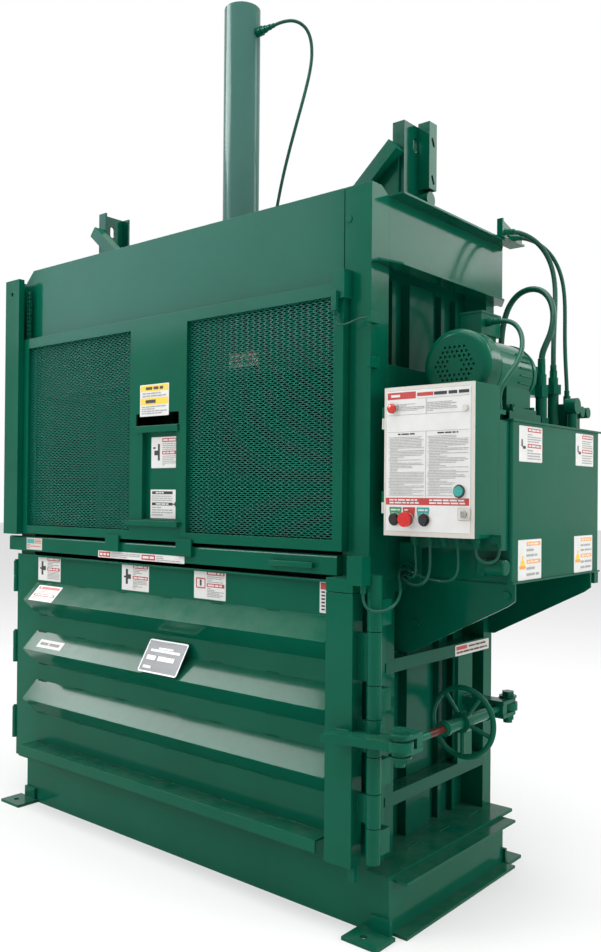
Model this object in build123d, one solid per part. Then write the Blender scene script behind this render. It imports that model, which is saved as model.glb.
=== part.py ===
from build123d import *
import os
from math import cos, pi, radians, sin, tan

# A low vertical baler: chamber with swing door and mesh gate, press cylinder and power unit.
# Millimetres. +Z is up, the front faces -Y, and the origin is on the floor at the chamber's centre.

# Chamber and body
chamber_w = 1524.0
chamber_d = 712.0
wall_t = 6.0
side_depth = 87.0
panel_t = 5.0
base_h = 155.0
deck_t = 10.0
body_h = 2080.0
half_w = chamber_w / 2
wall_x = half_w + wall_t
out_x = wall_x + side_depth
in_y = chamber_d / 2
face_y = -in_y - panel_t
back_y = in_y + panel_t
floor_z = base_h + deck_t
post_d = 85.0
post_w = wall_t + side_depth
rear_post_d = 50.0
skin_t = 6.0
skin_back_y = back_y + 48.0
skin_z = body_h - 218.0
skin_top = body_h - 23.0

# Base frame
rail_web_x = out_x + 75.0
rail_flange = 45.0
left_web_x = -half_w - 30.0
base_t = 8.0
base_back_y = in_y - 61.0
foot_len = 89.0
foot_w = 117.0

# Feed gate
head_h = 275.0
gate_z = 1045.0
gate_top = body_h - head_h
gate_h = gate_top - gate_z
window_top = gate_z + 0.4816 * gate_h
gate_t = 27.0
gate_gap = 3.0
gate_back_y = face_y - gate_gap
gate_face_y = gate_back_y - gate_t
gate_left = -half_w - 78.0
gate_right = half_w + 19.0
guide_left = -half_w - 131.0
guide_w = 93.0
guide_top = body_h - 39.0
sheet_t = 6.0

# Sill over the door
sill_h = 56.0
sill_z = gate_z - 12.0 - sill_h
sill_front = face_y - 26.0

# Door
door_z = floor_z
door_top = sill_z - 15.0
door_front = face_y - 10.0
door_back = door_front + sheet_t
door_left = -out_x - 2.0
door_right = half_w - 3.0
rib_leg = 88.9
rib_t = 6.0
door_axis_x = door_left - 11.0
door_h = door_top - door_z
rib_top_z = door_top - 168.0
rib_low_z = door_z + 251.0
rib_z = (rib_top_z, (rib_top_z + rib_low_z) / 2, rib_low_z)
ledge_z = door_z + 70.0
leaf_h = 60.0
leaf_top_z = door_top - 90.0
leaf_low_z = door_z + 127.0
leaf_z = (leaf_top_z, leaf_low_z + 0.517 * (leaf_top_z - leaf_low_z), leaf_low_z)

# Latch post and its hinge
latch_gap = 29.0
latch_d = 46.0
latch_back = face_y - latch_gap
latch_front = latch_back - latch_d
latch_z = floor_z + 24.0
latch_top = sill_z - 42.0
hinge_x = out_x + 49.0
hinge_y = face_y - 40.0
hinge_r = 21.0
pin_r = 10.0
fit = 0.3

# Turnbuckle
turn_x = hinge_x + 97.0
turn_y = hinge_y - 19.0
turn_z = 550.0
turn_back = 185.0
arm_t = 24.0
yoke_t = 12.0
yoke_gap = 2.0
yoke_play = 5.0
bolt_r = 14.0
screw_r = 11.0
sleeve_r = 18.0
sleeve_front = -206.0
sleeve_back = 60.0
wheel_y = -95.0
wheel_r = 99.0

# Press
press_stroke = 914.0
cylinder_d = 134.0
cylinder_bore = 114.3
rod_d = 69.85
gland_h = 60.0
piston_t = 36.0
cylinder_low = body_h - 216.0
cylinder_top = cylinder_low + press_stroke + 220.0
piston_z = cylinder_low + gland_h + 4.0 + press_stroke
port_z = cylinder_top - 100.0
platen_h = 240.0
platen_z = gate_top - 225.0
platen_gap = 10.0
mast_d = 127.0
mast_flange = 43.0
mast_t = 8.0
mast_top = body_h + 292.0
mast_low = platen_z - press_stroke - 26.0
beam_y = 150.0
beam_h = 150.0

# Power unit and control box
tank_x = out_x + 25.0
tank_w = 310.0
tank_front = -172.0
tank_len = 602.0
tank_z = 971.0
gusset_h = 226.0
tank_h = 437.0
tank_right = tank_x + tank_w
tank_back = tank_front + tank_len
tank_top = tank_z + tank_h
lid_t = 6.0
lid_z = tank_top + lid_t
side_rail_z = (floor_z + 146.0, tank_z - 277.0, tank_z - 44.0)
motor_x = tank_x + 155.0
motor_z = lid_z + 152.0
motor_r = 92.0
motor_front = -150.0
motor_back = 125.0
fan_cover_front = motor_front - 65.0
fan_cover_r = 105.0
box_x = out_x + 48.0
box_w = 277.0
box_y = face_y
box_d = 132.0
box_z = tank_z + 124.0
box_h = 403.0
box_right = box_x + box_w
box_top = box_z + box_h
plate_t = 5.0
ring_x = box_x + 1.0
plate_low = tank_z + 87.0
ring_z = tank_z + 18.0
stack_x = tank_right - 70
stack_y = tank_front + 327
union_x = tank_right - 90
loop_x = tank_x + 50


# Shape helpers
def block(x0, x1, y0, y1, z0, z1):
    """A box between two corners."""
    return Pos((x0 + x1) / 2, (y0 + y1) / 2, (z0 + z1) / 2) * Box(x1 - x0, y1 - y0, z1 - z0)


def bar_x(x0, x1, y, z, r):
    """A round bar along X."""
    return Pos((x0 + x1) / 2, y, z) * Rot(0, 90, 0) * Cylinder(r, x1 - x0)


def bar_y(x, y0, y1, z, r):
    """A round bar along Y."""
    return Pos(x, (y0 + y1) / 2, z) * Rot(90, 0, 0) * Cylinder(r, y1 - y0)


def bar_z(x, y, z0, z1, r):
    """A round bar along Z."""
    return Pos(x, y, (z0 + z1) / 2) * Cylinder(r, z1 - z0)


def hex_z(x, y, z0, z1, r):
    """A hexagon bar along Z."""
    return Pos(x, y, z0) * extrude(RegularPolygon(r, 6), z1 - z0)


def hex_y(x, y0, y1, z, r):
    """A hexagon bar along Y."""
    return Pos(x, y1, z) * Rot(90, 0, 0) * extrude(RegularPolygon(r, 6), y1 - y0)


def prism(points, along):
    """A prism on a closed outline of 3-D points, pulled along a vector."""
    step = Vector(*along)
    return extrude(make_face(Polyline(*points, close=True)), amount=step.length, dir=step)


def prism_z(outline, z0, z1):
    """A prism on an XY outline."""
    return prism([(x, y, z0) for x, y in outline], (0, 0, z1 - z0))


def prism_y(outline, y0, y1):
    """A prism on an XZ outline."""
    return prism([(x, y0, z) for x, z in outline], (0, y1 - y0, 0))


def prism_x(outline, x0, x1):
    """A prism on a YZ outline."""
    return prism([(x0, y, z) for y, z in outline], (x1 - x0, 0, 0))


def both_sides(shape):
    """The shape and its mirror image on the other side of the chamber."""
    return [shape, mirror(shape, about=Plane.YZ)]


def fuse(pieces):
    """One shape from several that touch."""
    whole = pieces[0]
    for piece in pieces[1:]:
        whole = whole + piece
    return whole


def keep(name, pieces):
    """Write one node, made of one solid or of a list of separate solids."""
    shapes = pieces if isinstance(pieces, list) else [pieces]
    solids = [solid for shape in shapes for solid in shape.solids()]
    node = solids[0] if len(solids) == 1 else Compound(children=solids)
    node.label = name
    export_step(node, os.path.join("parts", name + ".step"))


# Base
def base_frame():
    """Side channels, end plates, cross members and the four drilled foot brackets."""
    front = face_y + base_t
    right_web = block(rail_web_x - base_t, rail_web_x, front, base_back_y, 0, base_h)
    left_web = block(left_web_x, left_web_x + base_t, front, base_back_y, 0, base_h)
    pieces = [right_web, left_web]
    pieces.append(block(left_web_x, rail_web_x, face_y, front, 0, base_h))
    inner = (left_web_x + base_t, rail_web_x - base_t)
    pieces.append(block(*inner, base_back_y - base_t, base_back_y, 0, base_h))
    pieces.append(block(*inner, -45, 45, 0, base_t))
    for y in (-45, 37, -204, 196):
        pieces.append(block(*inner, y, y + 8, base_t if abs(y) < 50 else 0, base_h))
    for z in (0, base_h - base_t):
        flange = (face_y + 21, base_back_y, z, z + base_t)
        pieces.append(block(rail_web_x, rail_web_x + rail_flange, *flange))
        pieces.append(block(left_web_x - rail_flange, left_web_x, *flange))
    frame = fuse(pieces)
    for x0 in (out_x - 20, left_web_x - 41):
        frame = frame + foot_bracket(x0, face_y, -1)
        frame = frame + foot_bracket(x0, base_back_y, 1)
    return frame


def foot_bracket(x0, y, way):
    """An angle bracket that stands on the floor and holds one anchor bolt."""
    x1 = x0 + foot_w
    leg = block(x0, x1, min(y, y + way * foot_len), max(y, y + way * foot_len), 0, 10)
    upright = block(x0 + 40, x1 - 12, min(y, y + way * 10), max(y, y + way * 10), 0, 52)
    hole = bar_z(x0 + 48, y + way * 51, -1, 11, 11)
    return leg + upright - hole


def floor_plate():
    """The deck on the base, which is the chamber's floor."""
    return block(-out_x, rail_web_x, face_y, back_y, base_h, floor_z)


# Body
def side_walls():
    """The two chamber side sheets."""
    sheet = block(half_w, wall_x, face_y + post_d, in_y - rear_post_d, floor_z, skin_top)
    return both_sides(sheet)


def back_wall():
    """The rear sheet with its cross channels."""
    wall_w = out_x - skin_t
    wall = block(-wall_w, wall_w, in_y, back_y, floor_z, skin_top)
    first = floor_z + 165
    pitch = (skin_z - 292 - first) / 4
    for n in range(5):
        z = first + pitch * n
        outer = block(-wall_x, wall_x, back_y, back_y + 38, z, z + 76)
        inner = block(-wall_x, wall_x, back_y, back_y + 32, z + 6, z + 70)
        wall = wall + (outer - inner)
    return wall


def corner_posts():
    """Square posts at the four corners; the front right one shows its face."""
    right = tube_post(half_w, out_x, face_y, face_y + post_d, body_h)
    right = right - prism_x([(face_y + 45, body_h + 1), (face_y + post_d + 1, body_h + 1),
                             (face_y + post_d + 1, body_h - 24)], half_w - 1, out_x + 1)
    left = tube_post(-out_x, -half_w, face_y + panel_t, face_y + post_d, body_h - 45)
    rear = tube_post(half_w, out_x - skin_t, in_y - rear_post_d, in_y, skin_top)
    return [right, left] + both_sides(rear)


def tube_post(x0, x1, y0, y1, top):
    """An upright square tube with a closed top."""
    outer = block(x0, x1, y0, y1, floor_z, top)
    bore = block(x0 + 6, x1 - 6, y0 + 6, y1 - 6, floor_z, top - 30)
    return outer - bore


def side_frames():
    """Cross angles and upright channels on the outside of both side sheets."""
    pieces = []
    y0 = face_y + post_d
    y1 = in_y - rear_post_d
    for z in side_rail_z:
        height = 39
        face = block(out_x - 12, out_x, y0, y1, z, z + height)
        ledge = block(out_x - 55, out_x - 12, y0, y1, z + height - 6, z + height)
        pieces += both_sides(face + ledge)
    for y in (-80, ):
        outer = block(wall_x, wall_x + 30, y, y + 136, floor_z, skin_z - 12)
        inner = block(wall_x, wall_x + 24, y + 6, y + 130, floor_z, skin_z - 12)
        pieces += both_sides(outer - inner)
    for y in (-160, 120, 210):
        pieces += both_sides(block(wall_x, wall_x + 20, y, y + 20, floor_z, skin_z - 12))
    strip = block(out_x - 8, out_x, y0, y0 + 42, floor_z, side_rail_z[0])
    for low, high in zip(side_rail_z, side_rail_z[1:]):
        strip = strip + block(out_x - 8, out_x, y0, y0 + 42, low + 39, high)
    pieces += both_sides(strip)
    return pieces


def side_skins():
    """Outer side panels with their turned-out lips."""
    y0 = face_y + post_d
    y1 = in_y - rear_post_d
    upper = block(out_x - skin_t, out_x, y0, skin_back_y, skin_z, skin_top)
    top_lip = prism_z([(out_x - skin_t, y0), (out_x + 50, y0), (out_x + 50, skin_back_y - 80),
                       (out_x, skin_back_y), (out_x - skin_t, skin_back_y)], skin_top, skin_top + 6)
    tip = (out_x + 25, face_y)
    lip_z = (skin_z - 6, skin_z)
    lip_right = prism_z([(out_x, face_y), tip, (out_x + 50, y0), (out_x + 50, skin_back_y - 80),
                         (out_x, skin_back_y), (out_x - skin_t, skin_back_y), (out_x - skin_t, y0),
                         (out_x, y0)], *lip_z)
    lip_left = prism_z([(out_x - skin_t, y0), (out_x + 50, y0), (out_x + 50, skin_back_y - 80),
                        (out_x, skin_back_y), (out_x - skin_t, skin_back_y)], *lip_z)
    mid = block(out_x - skin_t, out_x, y0, y1, tank_z - 5, skin_z - 290)
    ledge = block(out_x - 50, out_x, y0, y1, skin_z - 290, skin_z - 284)
    right = upper + top_lip + lip_right
    left = mirror(upper + top_lip + lip_left, about=Plane.YZ)
    return [right, left] + both_sides(mid + ledge)


def front_panel():
    """The upper front sheet with a cut corner and a stiffened top edge."""
    x0 = -half_w - 68
    x1 = half_w - 3
    low = gate_top - 35
    sheet = prism_y([(x0, low), (x1, low), (x1, body_h), (x0 + 47, body_h), (x0, body_h - 42)],
                    face_y, face_y + panel_t)
    top = block(-half_w + 3, x1, face_y + panel_t, face_y + panel_t + 50, body_h - 6, body_h)
    fold = block(-half_w + 3, x1, face_y + panel_t, face_y + panel_t + 7, low, low + 6)
    return sheet + top + fold


def top_frame():
    """Cross channels that carry the cylinder's flange, and the beam behind the skins."""
    pieces = []
    for way in (-1, 1):
        web = sorted((way * beam_y, way * (beam_y - 8)))
        span = sorted((way * beam_y, way * (beam_y - 50)))
        channel = block(-half_w, half_w, *web, body_h - beam_h, body_h)
        for z in (body_h - beam_h, body_h - 8):
            channel = channel + block(-half_w, half_w, *span, z, z + 8)
        pieces.append(channel)
    flange = block(-beam_y, beam_y, -beam_y, beam_y, body_h, body_h + 25)
    flange = flange - bar_z(0, 0, body_h - 1, body_h + 26, cylinder_d / 2)
    beams = fuse([pieces[0], flange, pieces[1]])
    rear_w = out_x - skin_t
    rear = block(-rear_w, rear_w, back_y, skin_back_y, skin_z, skin_top)
    rear = rear - block(-rear_w, rear_w, back_y + 6, skin_back_y, skin_z + 6, skin_top - 6)
    return [beams, rear]


def guide_masts():
    """Channels that guide the platen and stand above the body, open towards the middle."""
    y = mast_d / 2
    x0 = half_w - mast_flange
    web = block(half_w - mast_t, half_w, -y, y, mast_low, mast_top)
    front = block(x0, half_w - mast_t, -y, -y + mast_t, mast_low, mast_top)
    rear = block(x0, half_w - mast_t, y - mast_t, y, mast_low, mast_top)
    mast = web + front + rear
    slot = Pos(half_w, 0, mast_top - 62) * Rot(0, 90, 0) * extrude(SlotOverall(46, 22), 30, both=True)
    return both_sides(mast - slot)


def mast_braces():
    """Raking tubes and gussets at the masts, and the cover on the right mast."""
    y = -mast_d / 2
    high = Vector(half_w - 14, 0, body_h + 208)
    low = Vector(half_w - 272, 0, body_h - 13)
    rake = low - high
    across = Vector(rake.Z, 0, -rake.X).normalized() * 22
    corners = [high - across, high + across, low + across, low - across]
    outline = [(p.X, p.Z) for p in corners]
    tube = prism_y(outline, y - 44, y) - block(0, half_w, y - 60, y + 1, 0, body_h)
    gusset = prism_y([(half_w - 17, body_h), (half_w - 17, body_h + 195), (half_w - 190, body_h + 47),
                      (half_w - 190, body_h)], y - 8, y)
    brace = tube + gusset
    cover = block(half_w, half_w + 42, 16, 60, body_h + 92, body_h + 303)
    cover = cover - block(half_w, half_w + 38, 20, 56, body_h + 91, body_h + 299)
    for z in (body_h + 122, body_h + 241):
        slot = Pos(half_w + 40, 38, z) * Rot(0, 90, 0) * Rot(0, 0, 25)
        cover = cover - slot * extrude(SlotOverall(30, 11), 10, both=True)
    lug = bar_x(half_w, half_w + 36, 38, body_h + 62, 24)
    return both_sides(brace) + [cover, lug]


# Press
def cylinder_tube():
    """The press cylinder: bored tube, closed top and a gland round the rod."""
    tube = bar_z(0, 0, cylinder_low, cylinder_top, cylinder_d / 2)
    tube = fillet(tube.edges().filter_by(GeomType.CIRCLE).group_by(Axis.Z)[-1], 4)
    tube = tube - bar_z(0, 0, cylinder_low + gland_h, cylinder_top - 30, cylinder_bore / 2)
    tube = tube - bar_z(0, 0, cylinder_low - 1, cylinder_low + gland_h + 1, rod_d / 2 + fit)
    return tube


def cylinder_ports():
    """The elbow at the top port and the nipple at the lower one."""
    r = cylinder_d / 2
    boss = bar_x(r - 3, r + 24, 10, port_z, 17) - cylinder_solid()
    nut = bar_x(r + 24, r + 42, 10, port_z, 13)
    nut = nut + bar_x(r + 42, r + 64, 10, port_z, 10)
    low = bar_y(60, 20, r + 53, body_h + 70, 15) - cylinder_solid()
    nut_low = bar_z(60, r + 53, body_h + 70, body_h + 105, 13)
    return [boss + nut, low + nut_low]


def cylinder_solid():
    """The cylinder's outside as a plain bar, with the least clearance round it."""
    return bar_z(0, 0, cylinder_low, cylinder_top, cylinder_d / 2 + 0.05)


def piston_rod():
    """The rod with its piston."""
    rod = bar_z(0, 0, platen_z + platen_h + 10, piston_z, rod_d / 2)
    piston = bar_z(0, 0, piston_z, piston_z + piston_t, cylinder_bore / 2 - fit)
    return rod + piston


def platen():
    """The pressing plate: a ribbed box with guide blocks that run in the masts."""
    x1 = half_w - platen_gap
    y1 = in_y - platen_gap
    z0 = platen_z
    z1 = platen_z + platen_h - 40
    body = block(-x1, x1, -y1, y1, z0, z0 + 20)
    skirt = block(-x1, x1, -y1, y1, z0 + 20, z1) - block(-x1 + 12, x1 - 12, -y1 + 12, y1 - 12, z0, z1)
    body = body + skirt
    for x in (-beam_y, beam_y):
        body = body + block(x - 6, x + 6, -y1, y1, z0 + 20, z1)
    for y in (-beam_y, beam_y):
        body = body + block(-x1, x1, y - 6, y + 6, z0 + 20, z1)
    notch_y = mast_d / 2 + platen_gap
    notch_x = half_w - mast_flange - 5
    for way in (-1, 1):
        edge = sorted((way * notch_x, way * (half_w + 1)))
        body = body - block(*edge, -notch_y, notch_y, z0 - 1, z1 + 1)
        wall = sorted((way * notch_x, way * (notch_x - 12)))
        body = body + block(*wall, -notch_y - 12, notch_y + 12, z0, z1)
        for y in (-notch_y - 12, notch_y):
            side = sorted((way * notch_x, way * x1))
            body = body + block(*side, y, y + 12, z0, z1)
        shoe = sorted((way * notch_x, way * (half_w - mast_t - 4)))
        body = body + block(*shoe, -mast_d / 2 + 13, mast_d / 2 - 13, z0 + 20, z1)
    boss = block(-beam_y - 6, beam_y + 6, -beam_y - 6, beam_y + 6, z1, z1 + 20)
    seat = bar_z(0, 0, z1 + 20, platen_z + platen_h + 10, rod_d / 2 + 25)
    return body + boss + seat


# Feed gate
def gate_guide():
    """The left channel that the gate and its chain run in, tied to the corner post."""
    x0 = guide_left
    x1 = guide_left + guide_w
    front = gate_face_y - 24
    z = (gate_z - 4, guide_top)
    guide = block(x0, x1, front, front + sheet_t, *z)
    guide = guide + block(x1 - sheet_t, x1, front + sheet_t, gate_face_y - fit, *z)
    guide = guide + block(x0, x0 + sheet_t, front + sheet_t, face_y + panel_t, *z)
    tab = block(x0, -out_x, face_y + panel_t, face_y + panel_t + 12, *z)
    guide = guide + tab - bar_y(x0 + 45, front - 1, front + sheet_t + 1, guide_top - 56, 8)
    return guide


def gate_frame():
    """The gate: border bars, centre plate with its recessed window, slot and pull bar."""
    y0 = gate_face_y
    y1 = gate_back_y
    left_x = -half_w - 5
    right_x = half_w - 16
    parts = [block(gate_left, gate_right, y0, y1, gate_top - 38, gate_top)]
    parts.append(block(gate_left, gate_right, y0, y1, gate_z, gate_z + 32))
    parts.append(block(gate_left, left_x, y0, y1, gate_z + 32, gate_top - 38))
    parts.append(block(right_x, gate_right, y0, y1, gate_z + 32, gate_top - 38))
    plate = block(-147, 139, y0, y0 + 6, gate_z + 32, gate_top - 38)
    for x in (-147, 131):
        plate = plate + block(x, x + 8, y0 + 6, y1, gate_z + 32, gate_top - 38)
    plate = plate - block(-114, 103, y0 - 1, y0 + 7, window_top + 24, window_top + 65)
    plate = plate - block(-80, 91, y0 - 1, y0 + 7, gate_z + 72, window_top)
    tray = block(-84, 95, y0 + 6, y0 + 22, gate_z + 68, window_top + 4)
    tray = tray - block(-80, 91, y0 + 5, y0 + 19, gate_z + 72, window_top)
    plate = plate + tray
    plate = plate + block(-114, 103, y0 - 6, y0, window_top, window_top + 22)
    plate = plate + block(-155, 112, y0 - 14, y0, gate_z + 49, gate_z + 67)
    return fuse(parts + [plate])


def gate_mesh():
    """The two mesh panels, drawn as a coarse diamond lattice of the same size."""
    panels = []
    for x0, x1 in ((-half_w - 5, -147), (139, half_w - 16)):
        panels.append(mesh_panel(x0, x1, gate_z + 32, gate_top - 38))
    return panels


def mesh_panel(x0, x1, z0, z1):
    """One sheet with rows of diamond openings."""
    y = (gate_face_y + 11, gate_face_y + 15)
    columns = 7
    rows = 9
    margin = 6
    step_x = (x1 - x0 - 2 * margin) / columns
    step_z = (z1 - z0 - 2 * margin) / rows
    sheet = block(x0, x1, *y, z0, z1)
    holes = []
    for row in range(rows):
        for column in range(columns):
            cx = x0 + margin + (column + 0.5) * step_x
            cz = z0 + margin + (row + 0.5) * step_z
            holes.append(diamond(cx, cz, step_x / 2 - 5, step_z / 2 - 4, y))
    for row in range(1, rows):
        for column in range(1, columns):
            cx = x0 + margin + column * step_x
            cz = z0 + margin + row * step_z
            holes.append(diamond(cx, cz, step_x / 2 - 5, step_z / 2 - 4, y))
    return sheet - holes


def diamond(cx, cz, half_x, half_z, y):
    """A diamond cutter through the mesh sheet."""
    outline = [(cx - half_x, cz), (cx, cz + half_z), (cx + half_x, cz), (cx, cz - half_z)]
    return prism_y(outline, y[0] - 1, y[1] + 1)


def gate_chain():
    """The roller chain that lifts the gate, as rollers between link plates."""
    pitch = 15.875
    x = guide_left + guide_w + 17
    y = gate_face_y + 13
    links = 12
    pieces = []
    for n in range(links):
        z = gate_top + pitch * n
        width = 9 if n % 2 else 6.5
        for side in (-1, 1):
            plate_x = sorted((x + side * width, x + side * (width - 2)))
            pieces.append(block(*plate_x, y - 7, y + 7, z, z + pitch + 6 if n < links - 1 else z + pitch))
        pieces.append(bar_x(x - 9, x + 9, y, z + 7, 5))
    return fuse(pieces)


def sill_bar():
    """The cross bar under the gate, with the two clips that locate the gate's foot."""
    outline = [(sill_front, sill_z), (face_y + panel_t, sill_z), (face_y + panel_t, sill_z + sill_h),
               (sill_front, sill_z + sill_h)]
    bar = prism_x(outline, guide_left + 1, half_w)
    edge = bar.edges().filter_by(Axis.X).group_by(Axis.Z)[-1].group_by(Axis.Y)[0]
    bar = fillet(edge, 8)
    for x0 in (-268, 102):
        bar = bar + block(x0, x0 + 73, sill_front - 6, sill_front, gate_z - 45, gate_z - 12)
        bar = bar + block(x0, x0 + 73, sill_front - 12, sill_front - 6, gate_z - 45, gate_z + 11)
    return bar


def gate_switch():
    """The bent bracket over the gate's corner, with the switch under it."""
    x0 = gate_right - 33
    x1 = gate_right + 9
    front = gate_face_y - 9
    z0 = gate_top - 48
    z1 = gate_top + 33
    bracket = block(x0, x1, front, front + 6, z0, z1)
    bracket = bracket + block(x1 - 6, x1, front + 6, face_y, z0, z1)
    switch = block(x0 + 4, x0 + 22, front - 12, front, z0 - 35, z0 + 20)
    switch = switch + bar_z(x0 + 13, front - 6, z0 - 47, z0 - 35, 5)
    return bracket + switch


# Door
def door():
    """The door: sheet, three V ribs, foot ledge, end lips and its hinge straps."""
    sheet = block(door_left, door_right, door_front, door_back, door_z, door_top)
    reach = rib_leg * 0.7071
    inner = reach - rib_t * 1.4142
    rib_x = (-half_w + 42, door_right - 24)
    pieces = [sheet]
    for z in rib_z:
        outline = [(door_front, z + reach), (door_front - reach, z), (door_front, z - reach),
                   (door_front, z - inner), (door_front - inner, z), (door_front, z + inner)]
        pieces.append(prism_x(outline, *rib_x))
    ledge = block(*rib_x, door_front - 72, door_front, ledge_z, ledge_z + 6)
    lip = block(*rib_x, door_front - 72, door_front - 66, ledge_z - 30, ledge_z)
    pieces.append(ledge + lip)
    pieces.append(block(rib_x[0], door_right, door_front - 20, door_front, door_top - 6, door_top))
    pieces.append(block(door_right - 6, door_right, door_front - 20, door_front, door_z, door_top - 6))
    leaf = fuse(pieces)
    for z in leaf_z:
        strap = block(door_axis_x, door_left, door_front, door_back, z, z + leaf_h)
        barrel = bar_z(door_axis_x, door_front, z, z + leaf_h, 10)
        leaf = leaf + strap + barrel
    for z in leaf_z:
        leaf = leaf - bar_z(door_axis_x, door_front, z - 1, z + leaf_h + 1, 6 + fit)
    return leaf


def door_hinge_pins():
    """The fixed hinge barrels with their pins and leaves on the left post."""
    pieces = []
    for z in leaf_z:
        low = z - leaf_h - 2
        barrel = bar_z(door_axis_x, door_front, low, z - 2, 10)
        pin = bar_z(door_axis_x, door_front, low, z + leaf_h + 6, 6)
        leaf = block(door_axis_x, door_axis_x + 6, door_front, face_y + 25, low, z - 2)
        foot = block(door_axis_x + 6, -out_x, face_y + 19, face_y + 25, low, z - 2)
        pieces.append(barrel + pin + leaf + foot)
    return pieces


# Latch post
hinge_segments = ((210.0, 306.0, "body"), (308.0, 398.0, "latch"), (400.0, 498.0, "body"),
                  (500.0, 598.0, "latch"), (600.0, 690.0, "body"), (692.0, 835.0, "latch"),
                  (837.0, 935.0, "body"))


def latch_post():
    """The clamping post with its knuckles, arm and the bolt through the yoke."""
    outer = block(half_w, out_x, latch_front, latch_back, latch_z, latch_top)
    post = outer - block(half_w + 6, out_x - 6, latch_front + 6, latch_back - 6, latch_z, latch_top - 6)
    post = post + block(out_x - 23, out_x, latch_front + 16, latch_back - 16, latch_z - 40, latch_z)
    arm = arm_plate() - outer
    post = post + arm
    for z0, z1, owner in hinge_segments:
        if owner == "latch":
            leaf = block(out_x, hinge_x, hinge_y - 6, hinge_y + 6, z0 + 6, z1 - 6)
            post = post + leaf + bar_z(hinge_x, hinge_y, z0, z1, hinge_r)
    post = post - bar_z(hinge_x, hinge_y, latch_z, latch_top, pin_r + fit)
    bolt = bar_z(turn_x, turn_y, turn_z - 55, turn_z + 27, bolt_r)
    bolt = bolt + bar_z(turn_x, turn_y, turn_z + 27, turn_z + 32, 31)
    bolt = bolt + hex_z(turn_x, turn_y, turn_z + 32, turn_z + 45, 20)
    bolt = bolt + bar_z(turn_x, turn_y, turn_z - 32, turn_z - 27, 31)
    bolt = bolt + hex_z(turn_x, turn_y, turn_z - 46, turn_z - 32, 20)
    return post + bolt


def arm_plate():
    """The flat arm that joins the post and the turnbuckle, round the hinge."""
    z0 = turn_z - arm_t / 2
    z1 = turn_z + arm_t / 2
    outline = [(half_w + 33, latch_front - 64), (turn_x - 13, turn_y - 34), (turn_x, turn_y),
               (turn_x, turn_y + 35), (out_x, turn_y + 35), (half_w + 33, latch_back)]
    return prism_z(outline, z0, z1) + bar_z(turn_x, turn_y, z0, z1, 36)


def latch_hinge_pins():
    """The hinge pin with the fixed pipe pieces and their leaves on the front post."""
    z0 = hinge_segments[0][0]
    z1 = hinge_segments[-1][1]
    pin = bar_z(hinge_x, hinge_y, z0, z1, pin_r)
    for low, high, owner in hinge_segments:
        if owner == "body":
            piece = bar_z(hinge_x, hinge_y, low, high, hinge_r)
            leaf = block(hinge_x - 6, hinge_x + 6, hinge_y, face_y + 31, low + 12, high - 15)
            foot = block(out_x, hinge_x - 6, face_y + 19, face_y + 31, low + 12, high - 15)
            pin = pin + piece + leaf + foot
    cap = bar_z(hinge_x, hinge_y, z1, z1 + 53, hinge_r)
    return pin + cap


def latch_keeper():
    """The short fixed block above the latch post."""
    keeper = block(half_w, out_x, latch_front, face_y, latch_top + 2, sill_z - 2)
    return keeper - block(half_w + 6, out_x - 6, latch_front + 6, face_y - 6, latch_top + 2, sill_z - 8)


# Turnbuckle
def turnbuckle_anchor():
    """The rear bracket with the fixed yoke and screw."""
    z0 = turn_z - arm_t / 2
    z1 = turn_z + arm_t / 2
    plate = block(out_x - 12, out_x, turn_back - 55, turn_back + 35, side_rail_z[0] + 39, side_rail_z[1])
    tongue = block(out_x, turn_x, turn_back - 30, turn_back + 30, z0, z1)
    tongue = tongue + bar_z(turn_x, turn_back, z0, z1, 30)
    web = prism_y([(out_x, z0), (out_x, z0 - 90), (out_x + 80, z0)], turn_back - 4, turn_back + 4)
    bolt = bar_z(turn_x, turn_back, turn_z - 52, turn_z + 27, bolt_r)
    bolt = bolt + bar_z(turn_x, turn_back, turn_z + 27, turn_z + 32, 27)
    bolt = bolt + hex_z(turn_x, turn_back, turn_z + 32, turn_z + 45, 20)
    bolt = bolt + hex_z(turn_x, turn_back, turn_z - 42, turn_z - 26, 20)
    return plate + tongue + web + bolt


def yoke(y_pin, way, hole_r):
    """A fork round an arm: two cheeks, a root and its neck, way +1 when it points to the rear."""
    pieces = []
    root = sorted((y_pin + way * 48, y_pin + way * 75))
    cheek_z = arm_t / 2 + yoke_gap
    for side in (-1, 1):
        z = sorted((turn_z + side * cheek_z, turn_z + side * (cheek_z + yoke_t)))
        cheek = sorted((y_pin, y_pin + way * 75))
        pieces.append(block(turn_x - 24, turn_x + 24, *cheek, *z) + bar_z(turn_x, y_pin, *z, 24))
    neck = block(turn_x - 22, turn_x + 22, *root, turn_z - cheek_z, turn_z + cheek_z)
    fork = fuse([pieces[0], neck, pieces[1]])
    return fork - bar_z(turn_x, y_pin, turn_z - 60, turn_z + 60, hole_r)


def rear_yoke():
    """The fixed yoke and its screw at the rear."""
    fork = yoke(turn_back, -1, bolt_r + fit)
    return fork + bar_y(turn_x, sleeve_front + 171, turn_back - 75, turn_z, screw_r)


def front_yoke():
    """The front yoke and its screw; its holes leave play round the bolt."""
    fork = yoke(turn_y, 1, bolt_r + yoke_play)
    return fork + bar_y(turn_x, turn_y + 75, sleeve_front + 106, turn_z, screw_r)


def turnbuckle_sleeve():
    """The threaded sleeve with a collar at each end."""
    sleeve = bar_y(turn_x, sleeve_front, sleeve_back, turn_z, sleeve_r)
    sleeve = sleeve + bar_y(turn_x, sleeve_front + 6, sleeve_front + 18, turn_z, 22)
    sleeve = sleeve + bar_y(turn_x, sleeve_back - 18, sleeve_back - 6, turn_z, 22)
    return sleeve - bar_y(turn_x, sleeve_front - 1, sleeve_back + 1, turn_z, screw_r + fit)


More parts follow.
